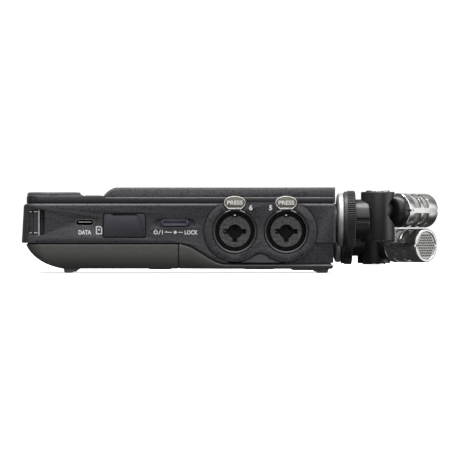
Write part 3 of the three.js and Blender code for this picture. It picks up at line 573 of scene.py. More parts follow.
def pod_outline(grow=0.0):
    """Two discs round the jacks, flat between them on top, with a fillet between them below."""
    left, right = JACK_XS
    half = (right - left) / 2
    radius, fillet = POD_RADIUS + grow, 5.55 - grow
    drop = math.sqrt((radius + fillet) ** 2 - half**2)
    lean = math.degrees(math.atan2(drop, half))
    flat = math.degrees(math.asin((POD_TOP + grow - JACK_Z) / radius))
    return (
        arc(right, JACK_Z, radius, lean - 180, flat, 64)
        + arc(left, JACK_Z, radius, 180 - flat, 360 - lean, 64)
        + arc((left + right) / 2, JACK_Z - drop, fillet, 180 - lean, lean, 12)[1:-1]
    )


USB_LOW, USB_HIGH = span("usb_port")
USB_X, USB_Z = middle("usb_port").x, middle("usb_port").z
USB_LENGTH, USB_HEIGHT = USB_HIGH.x - USB_LOW.x, USB_HIGH.z - USB_LOW.z
CARD_LOW, CARD_HIGH = span("card_cover")
SLIDER_X, SLIDER_Z = middle("power_slider").x, middle("power_slider").z
SLIDER_LENGTH = 14.1
SLIDER_TRAVEL = joint("power_slide")["range_m"][1] / MM
STRAP_X = (-100.0, -92.1)
STRAP_Z = (18.8, 31.4)
BAR = middle("strap_bar")
ROCKER = middle("volume_rocker")
SOCKETS = [middle("phones_jack").x] + [middle("line_jack").x + d for d in (-5, 5)]
SOCKET_Z = 25.2
TAB_WIDTH, TAB_HEIGHT = 10.9, 6.7
TAB_Z = (span("jack_release_5")[0].z + span("jack_release_5")[1].z) / 2
TAB_FACE = span("jack_release_4")[1].y
TAB_THICK = 0.75
SOCKET_RADIUS, CUP_RADIUS = 9.9, 10.6  # the wall a plug's shell slides in, and the outside of its cup


def flap_outline(grow, foot_radius, top_radius):
    """The card cover's outline, grown by a gap, with its own corners at the foot and at the top."""
    left, right = CARD_LOW.x - grow, CARD_HIGH.x + grow
    low, high = CARD_LOW.z - grow, CARD_HIGH.z + grow
    f, t = foot_radius, top_radius
    return [*arc(right - f, low + f, f, -90, 0, 6), *arc(right - t, high - t, t, 0, 90, 6),
            *arc(left + t, high - t, t, 90, 180, 6), *arc(left + f, low + f, f, 180, 270, 6)]


def tab_pocket(x, side):
    """The recess a release tab sits in, deep enough for its press."""
    return side_prism(side, tab_outline(x, 0.25), TAB_FACE - TAB_THICK - 1.2, 60)


def case_cuts():
    """The openings in the side walls."""
    tools = []
    for side in (-1, 1):
        for x in JACK_XS:
            tools.append(rod("y", 11.15, *side_span(side, 20, 60), (x, JACK_Z), 96))
            tools.append(tab_pocket(x, side))
    near, far = (-60, -22), (22, 60)
    usb = around((USB_X, USB_Z), USB_LENGTH + 0.3, USB_HEIGHT + 0.3, 2, 10)
    tools.append(prism("y", usb, *near))
    # The card cover's bed leaves a black line round it.
    tools.append(prism("y", flap_outline(0.4, 1, 1.9), -60, -(SIDE - 2.2)))
    tools.append(prism("y", around((-52.5, 24), 14, 3, 0.4), *near))
    slot = around((SLIDER_X, SLIDER_Z), SLIDER_LENGTH + 2 * SLIDER_TRAVEL + 0.4, 3.75, 2, 12)
    tools.append(prism("y", slot, -60, -(SIDE - 1.3)))
    strap = round_rect(*STRAP_X, *STRAP_Z, 1.0)
    tools.append(prism("y", strap, -60, -(SIDE - 6)))
    for x in SOCKETS:
        tools.append(rod("y", 4.0, *far, (x, SOCKET_Z), 48))
    tools.append(prism("y", around((ROCKER.x, ROCKER.z), 15.5, 5.5, 3, 10), *far))
    for side, z in ((-1, NECK_Z), (1, 2 * MIDDLE_Z - NECK_Z)):
        tools.append(rod("x", 6.5, MIC_END - 10, MIC_END + 9, (side * 21, z), 48))
    return tools


def main_frame():
    levels = [(SWEEP_LOW - 0.5, 0, 0), (15, 0, 0)]
    for u, v in arc(0, 0, SHOULDER_RADIUS, 0, 90, 8):
        inset = SHOULDER_RADIUS - u
        levels.append((SHOULDER + v, inset, LEAN + inset))
    shell = stack(levels)
    cut(shell, stack([(-5, WALL, WALL), (SHOULDER + 5, WALL, WALL + LEAN)], WALL))
    for side in (-1, 1):
        recess = box((JACK_XS[1], MIC_END + 5), side_span(side, SIDE - 0.8, 60), (-5, RECESS_TOP))
        groove = side_prism(side, pod_outline(0.42), SIDE - 0.7, 60)
        cut(shell, recess, groove)
    cut(shell, box((COVER_END, MIC_END + 5), (-60, 0), (-5, RECESS_TOP)))
    for side in (-1, 1):
        pod = side_prism(side, pod_outline(), SIDE - WALL, POD_FACE)
        join(shell, pod)
    corner = box((-102, -89.5), (-SIDE, -28.5), (STRAP_Z[0] - 2, STRAP_Z[1] + 1.2))
    common(corner, stack([(FLOOR_Z, 0.8, 0.8), (SHOULDER, 0.8, 0.8 + LEAN)]))
    join(shell, corner)
    cut(shell, under_sweep())
    cut(shell, *case_cuts())
    soften(shell, 0.2)
    piece(shell, "case_frame", "case", SPECKLED, "main_frame")


def case_tongue():
    """The frame's inner lip, which closes the seam a little way in from the sides."""
    tongue = stack([(3, 1.1, 2.9), (20, 1.1, 2.9)], 2.3)
    cut(tongue, stack([(2, 3.0, 4.6), (21, 3.0, 4.6)], 4.0))
    common(tongue, under_sweep(-1.5))
    cut(tongue, under_sweep(SEAM - 0.1))
    piece(tongue, "case_tongue", "case", DULL)


BEZEL_FOOT, BEZEL_FLAT = -62.6, -55.7  # where the screen block starts to rise, and where it is level
BAY = (-31.5, 31.5)  # the width of the display's bay
BLOCK_INSET = 2.4  # how far the screen block stands in from the side walls


def rise(x, top):
    """The top of the screen block, which climbs from the deck along half a parabola."""
    t = min(max((BEZEL_FLAT - x) / (BEZEL_FLAT - BEZEL_FOOT), 0.0), 1.0)
    return top - (top - DECK_Z) * t**2


def block_rings(section):
    """Cross sections along the screen block, closer together where its end curves."""
    run = BEZEL_FLAT - BEZEL_FOOT
    xs = [BEZEL_FOOT + run * i / 18 for i in range(19)] + [0, MIC_END - 0.7, MIC_END - 0.3]
    rings = []
    for x in xs:
        half = [(y - (0.35 if x > MIC_END - 0.5 else 0), z) for y, z in section(x)]
        rings.append(mirrored(x, half))
    return rings


def bezel_block():
    """The raised block round the screen, with a chamfer along its top edge."""
    side = SIDE - BLOCK_INSET

    def section(x):
        top = rise(x, BLOCK_Z)
        edge = min(0.8, (top - LEDGE_Z) * 0.3)
        return [(side, LEDGE_Z + 0.4), (side, top - edge), (side - 0.55 * edge, top)]

    return loft(block_rings(section))


def rim_sheet():
    """The thin black sheet that covers the top of the block and runs down its end."""
    side = SIDE - BLOCK_INSET - 0.45

    def section(x):
        top = rise(x, BLOCK_Z)
        return [(side, top - 0.12), (side, top + 0.25), (side - 0.15, top + 0.4)]

    return loft(block_rings(section))


def key_outline(node, grow):
    low, high = span(node)
    flange = 1.0  # the CAD key's flange, wider than its cap
    return round_rect(
        low.x + flange - grow, high.x - flange + grow, low.y + flange - grow, high.y - flange + grow,
        2.0 + grow,
    )


KEYS = ["stop_key", "rewind_key", "play_key", "forward_key", "record_key"]
GLASS_LOW, GLASS_HIGH = span("touch_glass")
LCD_LOW, LCD_HIGH = span("lcd_module")


def screen_cuts():
    """The bay and bed that take the display and its glass."""
    bed = round_rect(GLASS_LOW.x - 0.12, GLASS_HIGH.x + 0.12, GLASS_LOW.y - 0.12, GLASS_HIGH.y + 0.12, 3)
    return [
        box((BEZEL_FLAT + 3, GLASS_HIGH.x + 4), BAY, (20, TOP_Z - 2.3)),
        prism("z", bed, GLASS_LOW.z - 0.1, 60),
        box((LCD_LOW.x - 0.3, LCD_HIGH.x + 0.3), (LCD_LOW.y - 0.3, LCD_HIGH.y + 0.3), (20, 60)),
    ]


def top_panel():
    band, end = 1.5, 2.5  # how far the panel stands in at its sides and far end
    levels = [(BAND_Z, band, end)]
    for u, v in arc(0, 0, 0.95, 0, 90, 6):
        levels.append((LEDGE_Z + v, band + 0.95 - u, end + 0.95 - u))
    shell = stack(levels, 0.2)
    common(shell, box((BEZEL_FOOT, 100), ACROSS, (0, 60)))
    deck = stack([(BAND_Z, band, end), (DECK_Z - 0.25, band, end), (DECK_Z - 0.07, band + 0.1, end + 0.1),
                  (DECK_Z, band + 0.3, end + 0.3)])
    common(deck, box((-150, BEZEL_FOOT + 0.5), ACROSS, (0, 60)))
    join(shell, deck)
    cut(shell, stack([(20, 4, 5), (36, 4, 5)], 4))
    cut(shell, box((BEZEL_FOOT + 3, MIC_END - 3), BAY, (20, 60)))
    floor = rod("z", WHEEL_RADIUS + 1.4, 35, 36.6, (WHEEL_X, 0), 96)
    join(shell, common(floor, stack([(30, band + 0.3, end + 0.3), (40, band + 0.3, end + 0.3)], 1)))
    well = rod("z", WHEEL_RADIUS + 0.35, 36.3, 60, (WHEEL_X, 0), 96)
    cut(shell, well, rod("z", 4.2, 20, 60, (WHEEL_X, 0), 32))
    cut(shell, *[prism("z", key_outline(key, 0.25), 20, 60) for key in KEYS])
    cut(shell, *[tab_pocket(x, side) for side in (-1, 1) for x in JACK_XS])
    soften(shell, 0.12)
    piece(shell, "top_deck", "case", BAND, "top_panel")
    block = cut(bezel_block(), *screen_cuts())
    cut(block, *[tab_pocket(x, side) for side in (-1, 1) for x in JACK_XS])
    soften(block, 0.1)
    piece(block, "screen_block", "case", SPECKLED)
    piece(cut(rim_sheet(), *screen_cuts()), "screen_rim", "case", RIM)


FOOT_WIDTH = 9.0


def foot(x0, x1, y, lean):
    """A foot moulded on the underside, cut back on a slope at its inner end when it leans."""
    slope = 3.0 if lean else 0.7
    outline = [(x0, FLOOR_Z + 0.4), (x0 + 0.3, 1.0), *arc(x0 + 1.3, 1.0, 1.0, 180, 270, 5)]
    outline += [*arc(x1 - slope - 1, 1.0, 1.0, 270, 330, 5), (x1, FLOOR_Z + 0.4)]
    return prism("y", outline, y - FOOT_WIDTH / 2, y + FOOT_WIDTH / 2)


def battery_door():
    shell = cut(belly(), belly(SKIN))
    common(shell, box((-150, DOOR_END), ACROSS, (-5, DOOR_TOP - 0.15)))
    rails = box((-43, DOOR_END), (-11, 11), (FLOOR_Z + 0.3, FLOOR_Z + 2))
    join(shell, rails)
    cut(shell, prism("z", round_rect(-44.3, -29.7, -8.3, 8.3, 2), -20, FLOOR_Z + 0.9))
    for side in (-1, 1):
        join(shell, foot(-83.4, -75.5, side * 21, True))
    grips = [box((-60 + 2.2 * i, -59 + 2.2 * i), (-9, 9), (-5, FLOOR_Z + 0.35)) for i in range(5)]
    cut(shell, *grips)
    soften(shell, 0.2)
    piece(shell, "door_shell", "battery_door", COVER, "battery_door")


def battery_latch():
    plate = prism("z", round_rect(-41, -30, -8, 8, 1.8), 1.4, FLOOR_Z + 0.7)
    cut(plate, *[box((-38.9 + 2 * i, -38.1 + 2 * i), (-6, 6), (-5, 1.8)) for i in range(4)])
    soften(plate, 0.2)
    piece(plate, "door_latch", "battery_latch", KEY, "battery_latch")


TRIPOD = middle("tripod_bush")
SPEAKER = middle("speaker_driver")


def cover_section(x, skin=0.0):
    """Half the cover's outline at one place, from its floor to the seam, as (y, z) points."""
    share = (sweep(x) - SWEEP_LOW) / (SWEEP_HIGH - SWEEP_LOW)
    top = sweep(x) - SEAM

    def mix(near, far):
        return near * share + far * (1 - share)

    points = [(mix(0.3, 0.6), top - 0.6), (mix(2.2, 0.9), mix(4.6, 3.2)), (mix(11.0, 2.8), FLOOR_Z)]
    half = []
    for i in range(11):
        t = 1 - i / 10
        side, z = bezier(points, t)
        half.append((SIDE - side - skin, z + skin * t))
    edge = [(SIDE - points[0][0] - 0.2 - skin, top - 0.2), (SIDE - points[0][0] - 0.7 - skin, top)]
    if skin:
        edge = [(SIDE - points[0][0] - skin, top + 20)]
    return half + edge


def cover_loft(xs, skin=0.0):
    return loft([mirrored(x, cover_section(x, skin)) for x in xs])


def back_cover():
    left, right = COVER_LOW.x, COVER_END
    xs = [left + (SWEEP_TO - left) * i / 24 for i in range(25)] + [20, right]
    shell = cover_loft(xs)
    cut(shell, cover_loft([left - 1, *xs[1:-1], right - SKIN], SKIN))
    rib = cover_loft([left, left + SKIN])
    common(rib, box((left - 1, left + 3), ACROSS, (-5, 10)))
    end = [(-60, -5), (right - 1.2, -5), *arc(right - 1.2, FLOOR_Z + 1.2, 1.2, 270, 360, 8), (right, 30),
           (-60, 30)]
    common(shell, prism("y", end, *ACROSS))
    pad = prism("z", round_rect(31.2, 41.5, -28, 28, 3), 1.25, FLOOR_Z + 1)
    boss = rod("z", 7.6, FLOOR_Z - 0.6, FLOOR_Z + 5, (TRIPOD.x, 0))
    join(shell, rib, pad, boss)
    for side in (-1, 1):
        join(shell, foot(42.6, 49.6, side * 26, False))
    slots = [prism("z", around((SPEAKER.x, 4 * i), 6, 1.5, 0.74), -5, 4.5) for i in (-2, -1, 0, 1, 2)]
    places = [(x, y) for x in (-10, 37) for y in (-24, 24)]
    screws = [rod("z", 2.3, -5, FLOOR_Z + 1.2, place, 32) for place in places]
    bush = rod("z", 6.15, FLOOR_Z + 0.4, 20, (TRIPOD.x, 0))
    hole = rod("z", 3.8, -5, 20, (TRIPOD.x, 0))
    cut(shell, *slots, *screws, bush, hole)
    soften(shell, 0.15, angle=40)
    piece(shell, "back_shell", "case", COVER, "back_cover")
    for i, (x, y) in enumerate(places):
        head = turned("z", [(0, 2.2), (1.6, 2.2), (2.1, 2.5), (2.1, 3.1), (0, 3.1)], (x, y), 32)
        along = box((x - 1.2, x + 1.2), (y - 0.25, y + 0.25), (0, 2.7))
        across = box((x - 0.25, x + 0.25), (y - 1.2, y + 1.2), (0, 2.7))
        piece(cut(head, join(along, across)), f"case_screw_{i + 1}", "case", DULL)


def door_lip():
    """The case's lip behind the line between the door and the cover. It stops short of the door."""
    ends = [DOOR_END + 0.05, COVER_LOW.x + 1.2]
    lip = cover_loft(ends, 1.75)
    cut(lip, cover_loft([ends[0] - 1, ends[1] + 1], 2.7))
    cut(lip, box((-40, 0), (-12, 12), (0, 8)), box((-40, 0), ACROSS, (12.5, 60)))
    piece(lip, "door_lip", "case", DULL)


def tripod_bush():
    bush = turned("z", [(3.6, 2.6), (6, 2.6), (6, 11), (0, 11), (0, 9.5), (3.2, 9.5), (3.2, 3.0)],
                  (TRIPOD.x, 0), 48, closed=True)
    piece(bush, "tripod_thread", "case", GOLD, "tripod_bush")


# ------------------------------------------------------------------ the screen, keys and wheel

def touch_glass():
    glass = prism("z", round_rect(GLASS_LOW.x, GLASS_HIGH.x, GLASS_LOW.y, GLASS_HIGH.y, 3, 10),
                  GLASS_LOW.z, GLASS_HIGH.z)
    soften(glass, 0.25, 3)
    piece(glass, "screen_cover", "case", GLASS, "touch_glass")


def key_mark(key, x, y):
    """Outlines of the mark printed on a key."""
    size = 1.5

    def triangle(cx, way):
        return [(cx - way * size, y - size), (cx + way * size, y), (cx - way * size, y + size)]

    marks = {
        "stop_key": [rect(x - size, x + size, y - size, y + size)],
        "play_key": [triangle(x, 1)],
        "forward_key": [triangle(x - 1.2, 0.7), triangle(x + 1.2, 0.7)],
        "rewind_key": [triangle(x - 1.2, -0.7), triangle(x + 1.2, -0.7)],
        "record_key": [circle(x, y, 1.8, 32)],
    }
    return marks[key]


def transport_keys():
    for key in KEYS:
        low, high = span(key)
        cap = loft([[(x, y, z) for x, y in key_outline(key, -inset)] for z, inset in
                    ((low.z, 0), (high.z - 0.35, 0), (high.z - 0.1, 0.12), (high.z, 0.4))])
        piece(cap, f"{key}_cap", key, KEY, key)
        x, y = middle(key).x, middle(key).y
        for i, outline in enumerate(key_mark(key, x, y)):
            ink = RED if key == "record_key" else WHITE
            piece(prism("z", outline, high.z - 0.01, high.z + 0.03), f"{key}_mark_{i + 1}", key, ink)


def jog_wheel():
    low, top, r = 36.95, WHEEL_TOP, WHEEL_RADIUS
    sides = 90 * 6  # ninety teeth, half ridge and half groove
    profile = [(POINT, 33), (3, 33), (3, low), (r - 0.5, low), (r - 0.25, low + 0.3), (r - 0.25, top - 0.75),
               (r - 0.4, top - 0.3), (r - 0.8, top), (r - 4.2, top), (r - 4.6, top - 0.15),
               (r - 6, top - 0.5), (POINT, top - 0.7)]
    rings = []
    for radius, z in profile:
        grip = 0.25 if low + 0.2 < z < top - 0.5 else 0.0
        ring = []
        for i in range(sides):
            ridge = grip * (1 if i % 6 in (0, 1, 2) else 0)
            a = 2 * math.pi * i / sides
            ring.append((WHEEL_X + (radius + ridge) * math.cos(a), (radius + ridge) * math.sin(a), z))
        rings.append(ring)
    wheel = loft(rings)
    cut(wheel, ball(5, (WHEEL_X + 5, 0, top + 3.4), 48, 32))  # the dimple for a fingertip
    piece(wheel, "dial", "jog_wheel", WHEEL, "jog_wheel")


# ------------------------------------------------------------------ marks

def lettering(text, x, z, height, side=-1, face=None, relief=0.03, width=None, bold=0.035):
    """Raised letters on a side face, centred at x and standing on z."""
    curve = bpy.data.curves.new("text", "FONT")
    curve.body = text
    curve.align_x = "CENTER"
    curve.size = height * MM / 0.7
    curve.extrude = relief * MM
    curve.offset = bold * MM * height
    curve.resolution_u = 3
    source = placed("text", curve)
    graph = bpy.context.evaluated_depsgraph_get()
    mesh = bpy.data.meshes.new_from_object(source.evaluated_get(graph))
    bpy.data.objects.remove(source)
    if width:
        xs = [v.co.x for v in mesh.vertices]
        mesh.transform(Matrix.Diagonal((width * MM / (max(xs) - min(xs)), 1, 1, 1)))
    face = SIDE if face is None else face
    stand = Matrix.Rotation(math.radians(90), 4, "X")
    if side > 0:
        stand = Matrix.Rotation(math.pi, 4, "Z") @ stand
    mesh.transform(Matrix.Translation(Vector((x, side * face, z)) * MM) @ stand)
    return placed("text", mesh)


def mark(outline, name, hole=None):
    """A flat printed shape on the near side, with an optional hole."""
    made = side_prism(-1, outline, SIDE - 0.02, SIDE + 0.03)
    if hole:
        cut(made, side_prism(-1, hole, SIDE - 1, SIDE + 1))
    piece(made, name, "case", WHITE)


def side_marks():
    piece(lettering("DATA", USB_X, 19.25, 2.05, width=6.3, bold=0.05), "mark_data", "case", WHITE)
    card = [(-66.6, 19.3), (-63.5, 19.3), (-63.5, 22.3), (-64.4, 23.3), (-66.6, 23.3)]
    hole = [(-66.1, 19.8), (-64.0, 19.8), (-64.0, 22.1), (-64.6, 22.8), (-66.1, 22.8)]
    mark(card, "mark_card", hole=hole)
    mark([(-65.7, 21.2), (-64.4, 21.2), (-65.05, 22.2)], "mark_card_arrow")
    row = 20.25  # height of the middle of the row of marks under the slider
    ring = circle(-36.9, row, 1.05, 32)
    mark(ring, "mark_power_ring", hole=circle(-36.9, row, 0.65, 32))
    mark(rect(-37.1, -36.7, row + 0.5, row + 1.5), "mark_power_bar")
    mark([(-35.6, row - 1.1), (-35.2, row - 1.1), (-34.3, row + 1.1), (-34.7, row + 1.1)], "mark_power_slash")
    mark(rect(-33.8, -33.4, row - 1.0, row + 1.1), "mark_power_on")
    mark([(-32.8, row), (-31.3, row + 0.75), (-31.3, row + 0.2), (-28.8, row + 0.2), (-28.8, row - 0.2),
          (-31.3, row - 0.2)], "mark_power_arrow")
    mark(circle(-27.2, row, 0.8, 24), "mark_slider_dot")
    mark(rect(-25.7, -23.4, row - 0.2, row + 0.2), "mark_slider_dash")
    piece(lettering("LOCK", -19.4, row - 1.0, 2.0, width=6.5), "mark_lock", "case", WHITE)
    for number in (6, 5, 4, 3):
        side, x = INPUTS[number]
        x += 7.9 if x == JACK_XS[0] else -7.7
        digit = lettering(str(number), x, 31.35, 2.35, side, POD_FACE, bold=0.06)
        piece(digit, f"mark_input_{number}", "case", WHITE)


# ------------------------------------------------------------------ input jacks

# Side and x of each input, by its number.
INPUTS = {3: (1, JACK_XS[1]), 4: (1, JACK_XS[0]), 5: (-1, JACK_XS[1]), 6: (-1, JACK_XS[0])}
RIM_FACE = span("jack_shell_4")[1].y
JACK_BACK = span("jack_shell_4")[0].y
CORE_FACE = span("jack_core_4")[1].y


def jack_shell(number, side, x):
    bore, outside = SOCKET_RADIUS, CUP_RADIUS
    profile = [(POINT, 12), (outside, 12), (outside, 32.3), (12.3, 32.3), (12.3, 33.5), (outside, 33.5),
               (outside, 36.5), (bore, 36.5), (bore, 14), (POINT, 14)]
    cup = turned("y", [(r, side * y) for r, y in profile], (x, JACK_Z), 96)
    piece(cup, f"input_cup_{number}", "case", SOCKET, f"jack_shell_{number}")
    # The rim ring is the cup's real inward bevel, drawn in a lighter grey than the cup as painted highlight.
    face = RIM_FACE - 0.1
    ring = [(bore, 36.5), (10.15, face - 0.5), (10.52, face), (10.62, face - 0.05), (10.65, 36.5)]
    rim = turned("y", [(r, side * y) for r, y in ring], (x, JACK_Z), 96, closed=True)
    piece(rim, f"input_rim_{number}", "case", JACK_RIM_HIGHLIGHT)


def core_opening(x):
    """The round bore with a slot at each side and below, flaring into it."""
    right = [(1.2, -5.2)] + arc(0, 0, 3.6, -70, -20, 8)
    right += [(5.5, -1.2), (5.7, -1.0), (5.7, 1.0), (5.5, 1.2)] + arc(0, 0, 3.5, 21, 90, 10)
    left = [(-u, v) for u, v in reversed(right)]
    return [(x + u, JACK_Z + v) for u, v in right + left[1:]]


def jack_core(number, side, x):
    start, face = JACK_BACK + 2.2, CORE_FACE
    profile = [(POINT, start), (7.85, start), (7.85, face - 0.4), (7.7, face), (POINT, face)]
    core = turned("y", [(r, side * y) for r, y in profile], (x, JACK_Z), 96)
    bore = side_prism(side, core_opening(x), JACK_BACK + 4, 60)
    keyway = side_prism(side, around((x, JACK_Z + 8.0), 3.0, 2.0, 0.3), face - 6, 60)
    cut(core, bore, keyway)
    piece(core, f"input_core_{number}", "case", CORE, f"jack_core_{number}")
    clip = side_prism(side, around((x - 4.9, JACK_Z), 0.3, 0.8, 0.1), 16.5, face - 12)
    piece(clip, f"input_contact_{number}", "case", GOLD)
    latch = side_prism(side, around((x, JACK_Z + 8.1), 0.9, 0.5, 0.15), 33, face - 1.2)
    piece(latch, f"input_latch_{number}", "case", BRIGHT)


def tab_outline(x, grow=0.0):
    """A tab with a strongly crowned top, full sides and cut lower corners."""
    w, h = TAB_WIDTH / 2, TAB_HEIGHT / 2
    right = [(w - 2.3, -h), (w - 0.9, -h + 1.1), (w - 0.2, -h + 2.2), (w, -0.3), (w - 0.1, 0.7),
             (w - 0.5, 1.5), (w - 1.2, 2.2), (w - 2.2, 2.75), (w - 3.5, 3.15), (w - 4.6, h)]
    right = [(u * (w + grow) / w, v * (h + grow) / h) for u, v in right]
    left = [(-u, v) for u, v in reversed(right)]
    return [(x + u, TAB_Z + v) for u, v in right + left]


def release_tab(number, side, x):
    body = f"jack_release_{number}"
    face = TAB_FACE
    plate = side_prism(side, tab_outline(x), face - TAB_THICK, face - 0.2)
    soften(plate, 0.2)
    stem = box((x - 3.4, x + 3.4), side_span(side, 34.6, face - TAB_THICK + 0.1), (TAB_Z - 2.4, TAB_Z + 0.2))
    join(plate, stem)
    piece(plate, f"tab_plate_{number}", body, NICKEL, body)
    rim = side_prism(side, tab_outline(x, 0.02), face - 0.5, face)
    cut(rim, side_prism(side, tab_outline(x, -0.62), face - 2, face + 2))
    soften(rim, 0.16, angle=40)
    piece(rim, f"tab_rim_{number}", body, BRIGHT)
    # The lip stays above the jack's rim, which it passes when the tab is pressed.
    low, high = JACK_Z + 10.85, TAB_Z - TAB_HEIGHT / 2 + 0.85
    lip = prism("y", around((x, (low + high) / 2), 5.4, high - low, 0.3),
                *side_span(side, face - 0.45, face + 0.02))
    soften(lip, 0.15)
    piece(lip, f"tab_lip_{number}", body, STRAP_STEEL)
    letters = lettering("PRESS", x, TAB_Z - 0.9, 1.95, side, face - 0.2, 0.14, 7.8, 0.035)
    piece(letters, f"tab_letters_{number}", body, TABLET)


def jack_springs(number, side, x):
    """The ends of the latch spring, which show as two bright arcs beside the tab."""
    near, far = side_span(side, RIM_FACE - 0.6, RIM_FACE - 0.02)
    for i, (start, end) in enumerate(((62, 76), (102, 117))):
        outline = arc(x, JACK_Z, 10.86, start, end, 14) + arc(x, JACK_Z, 10.5, end, start, 14)
        piece(prism("y", outline, near, far), f"input_spring_{number}_{i + 1}", "case", STRAP_STEEL)


def inputs():
    for number, (side, x) in INPUTS.items():
        jack_shell(number, side, x)
        jack_core(number, side, x)
        release_tab(number, side, x)
        jack_springs(number, side, x)


# ------------------------------------------------------------------ ports and small controls

def usb_port():
    start, end = ordered(USB_LOW.y, USB_HIGH.y)
    centre = (USB_X, USB_Z)
    shell = prism("y", around(centre, USB_LENGTH, USB_HEIGHT, 2, 12), start, end)
    cut(shell, prism("y", around(centre, USB_LENGTH - 0.6, USB_HEIGHT - 0.6, 2, 12), -60, end - 0.8))
    soften(shell, 0.08)
    # The shell is drawn black all through: painted shade for the deep inside of the port, whose metal shows
    # only at the nickel front lip.
    piece(shell, "port_shell", "case", DULL, "usb_port")
    lip = prism("y", around(centre, USB_LENGTH, USB_HEIGHT, 2, 12), start - 0.06, start + 0.1)
    cut(lip, prism("y", around(centre, USB_LENGTH - 0.45, USB_HEIGHT - 0.45, 2, 12), -60, 0))
    piece(lip, "port_lip", "case", PORT)
    tongue = prism("y", around(centre, 6.6, 0.6, 0.2), start + 0.35, end - 0.9)
    piece(tongue, "port_tongue", "case", STRAP_STEEL)


def card_cover():
    low, high = CARD_LOW, CARD_HIGH
    plate = prism("y", flap_outline(0, 0.7, 1.5), low.y, high.y)
    notch = prism("y", round_rect(-58.4, -46.3, high.z - 0.95, high.z + 3, 0.3), low.y - 1, high.y - 0.2)
    cut(plate, notch)
    soften(plate, 0.18)
    piece(plate, "card_flap", "card_cover", RUBBER, "card_cover")


def power_slider():
    x, z = SLIDER_X, SLIDER_Z
    face = -span("power_slider")[0].y
    button = prism("y", around((x, z), SLIDER_LENGTH, 3.3, 2, 12), -face, -36)
    grips = [[(x, z - 0.12), (x + way * 5.2, z - 0.95), (x + way * 5.9, z), (x + way * 5.2, z + 0.95),
              (x, z + 0.12)] for way in (-1, 1)]
    cut(button, *[prism("y", grip, -face - 1, -face + 0.45) for grip in grips])
    join(button, box((x - 2.5, x + 2.5), (-36.5, -31), (z - 0.8, z + 0.8)))
    soften(button, 0.2)
    piece(button, "slide_button", "power_slider", SLIDER, "power_slider")
    bed = prism("y", around((x, z), 19.4, 3.4, 2, 12), -35.65, -34.2)
    cut(bed, box((x - 5.4, x + 5.4), (-60, 0), (z - 1, z + 1)))
    piece(bed, "slide_bed", "case", DULL)


def strap_bar():
    low, high = span("strap_bar")
    bar = rod("z", 0.5, low.z, high.z, (BAR.x, BAR.y), 32)
    piece(bar, "strap_rod", "case", STRAP_STEEL, "strap_bar")
    left, right = STRAP_X
    low_z, high_z = STRAP_Z
    panels = (("strap_plate_left", left + 0.1, left + 2.0, SPECKLED),
              ("strap_plate_right", left + 2.2, left + 4.6, SLIDER))
    for name, x0, x1, material in panels:
        piece(box((x0, x1), (-33.6, -32.4), (low_z + 0.1, high_z - 0.1)), name, "case", material)
    for i, z in enumerate((low_z + 1.2, high_z - 0.9)):
        for j, (x0, x1) in enumerate(((left + 0.2, left + 1.3), (left + 2.4, left + 4.3))):
            leg = prism("y", round_rect(x0, x1, z - 0.22, z + 0.22, 0.2), -34.2, -33.5)
            piece(leg, f"strap_leg_{i + 1}_{j + 1}", "case", STRAP_STEEL)
    edge = box((right - 1.55, right - 1.25), (-34.0, -32.0), (low_z + 0.3, high_z - 0.3))
    piece(edge, "strap_edge", "case", SLIDER)


def audio_jacks():
    for node, xs in (("phones_jack", SOCKETS[:1]), ("line_jack", SOCKETS[1:])):
        block = box((min(xs) - 3.5, max(xs) + 3.5), (21, 33), (SOCKET_Z - 3.5, SOCKET_Z + 3.5))
        for x in xs:
            profile = [(POINT, 32), (3.8, 32), (3.8, 36.6), (3.6, 36.85), (2.6, 36.85), (2.2, 36.5),
                       (POINT, 36.4)]
            join(block, turned("y", profile, (x, SOCKET_Z), 48))
        cut(block, *[rod("y", 1.8, 23, 60, (x, SOCKET_Z), 32) for x in xs])
        piece(block, f"{node}_body", "case", SOCKET, node)
        for i, x in enumerate(xs):
            ring = [(1.82, 36.2), (2.5, 36.2), (2.5, 36.9), (1.95, 36.9)]
            lip = turned("y", ring, (x, SOCKET_Z), 48, closed=True)
            piece(lip, f"{node}_lip_{i + 1}", "case", BRIGHT)


def volume_rocker():
    x, z = ROCKER.x, ROCKER.z
    cap = prism("y", around((x, z), 15, 5, 3, 12), 34.6, 37.8)
    cut(cap, *[box((x + s * 5 - 1.2, x + s * 5 + 1.2), (37.5, 60), (z - 0.2, z + 0.2)) for s in (-1, 1)])
    cut(cap, box((x - 5.2, x - 4.8), (37.5, 60), (z - 1.2, z + 1.2)))
    join(cap, box((x - 1, x + 1), (32.5, 35), (z - 1.5, z + 1.5)))
    soften(cap, 0.2)
    piece(cap, "volume_cap", "volume_rocker", KEY, "volume_rocker")


# ------------------------------------------------------------------ microphone units

TURN_OVER = Matrix.Translation((0, 0, 2 * MIDDLE_Z * MM)) @ Matrix.Diagonal((1, -1, -1, 1))
HEAD_PLACE = Matrix.Translation(Vector((HINGE_X, MIC_Y, HEAD_Z)) * MM) @ Matrix.Rotation(TOE, 4, "Z")


def unit_place(unit):
    return Matrix.Identity(4) if unit == "a" else TURN_OVER


def mic_socket(unit):
    back, start = MIC_END - 8, MIC_END + 0.6
    profile = [(POINT, back), (6.2, back), (6.2, start), (9.0, start), (11.2, start + 0.2),
               (12.4, start + 0.55), (13.0, start + 0.9), (13.3, start + 1.4), (13.3, 56.35), (13.1, 56.6),
               (9.8, 56.6), (9.8, 59.4),
               (7.8, 59.4), (7.8, MIC_END + 2), (POINT, MIC_END + 2)]
    made = turned("x", profile, (MIC_Y, NECK_Z), 96)
    piece(moved(made, unit_place(unit)), f"mount_flange_{unit}", "case", PLATE, f"mic_socket_{unit}")


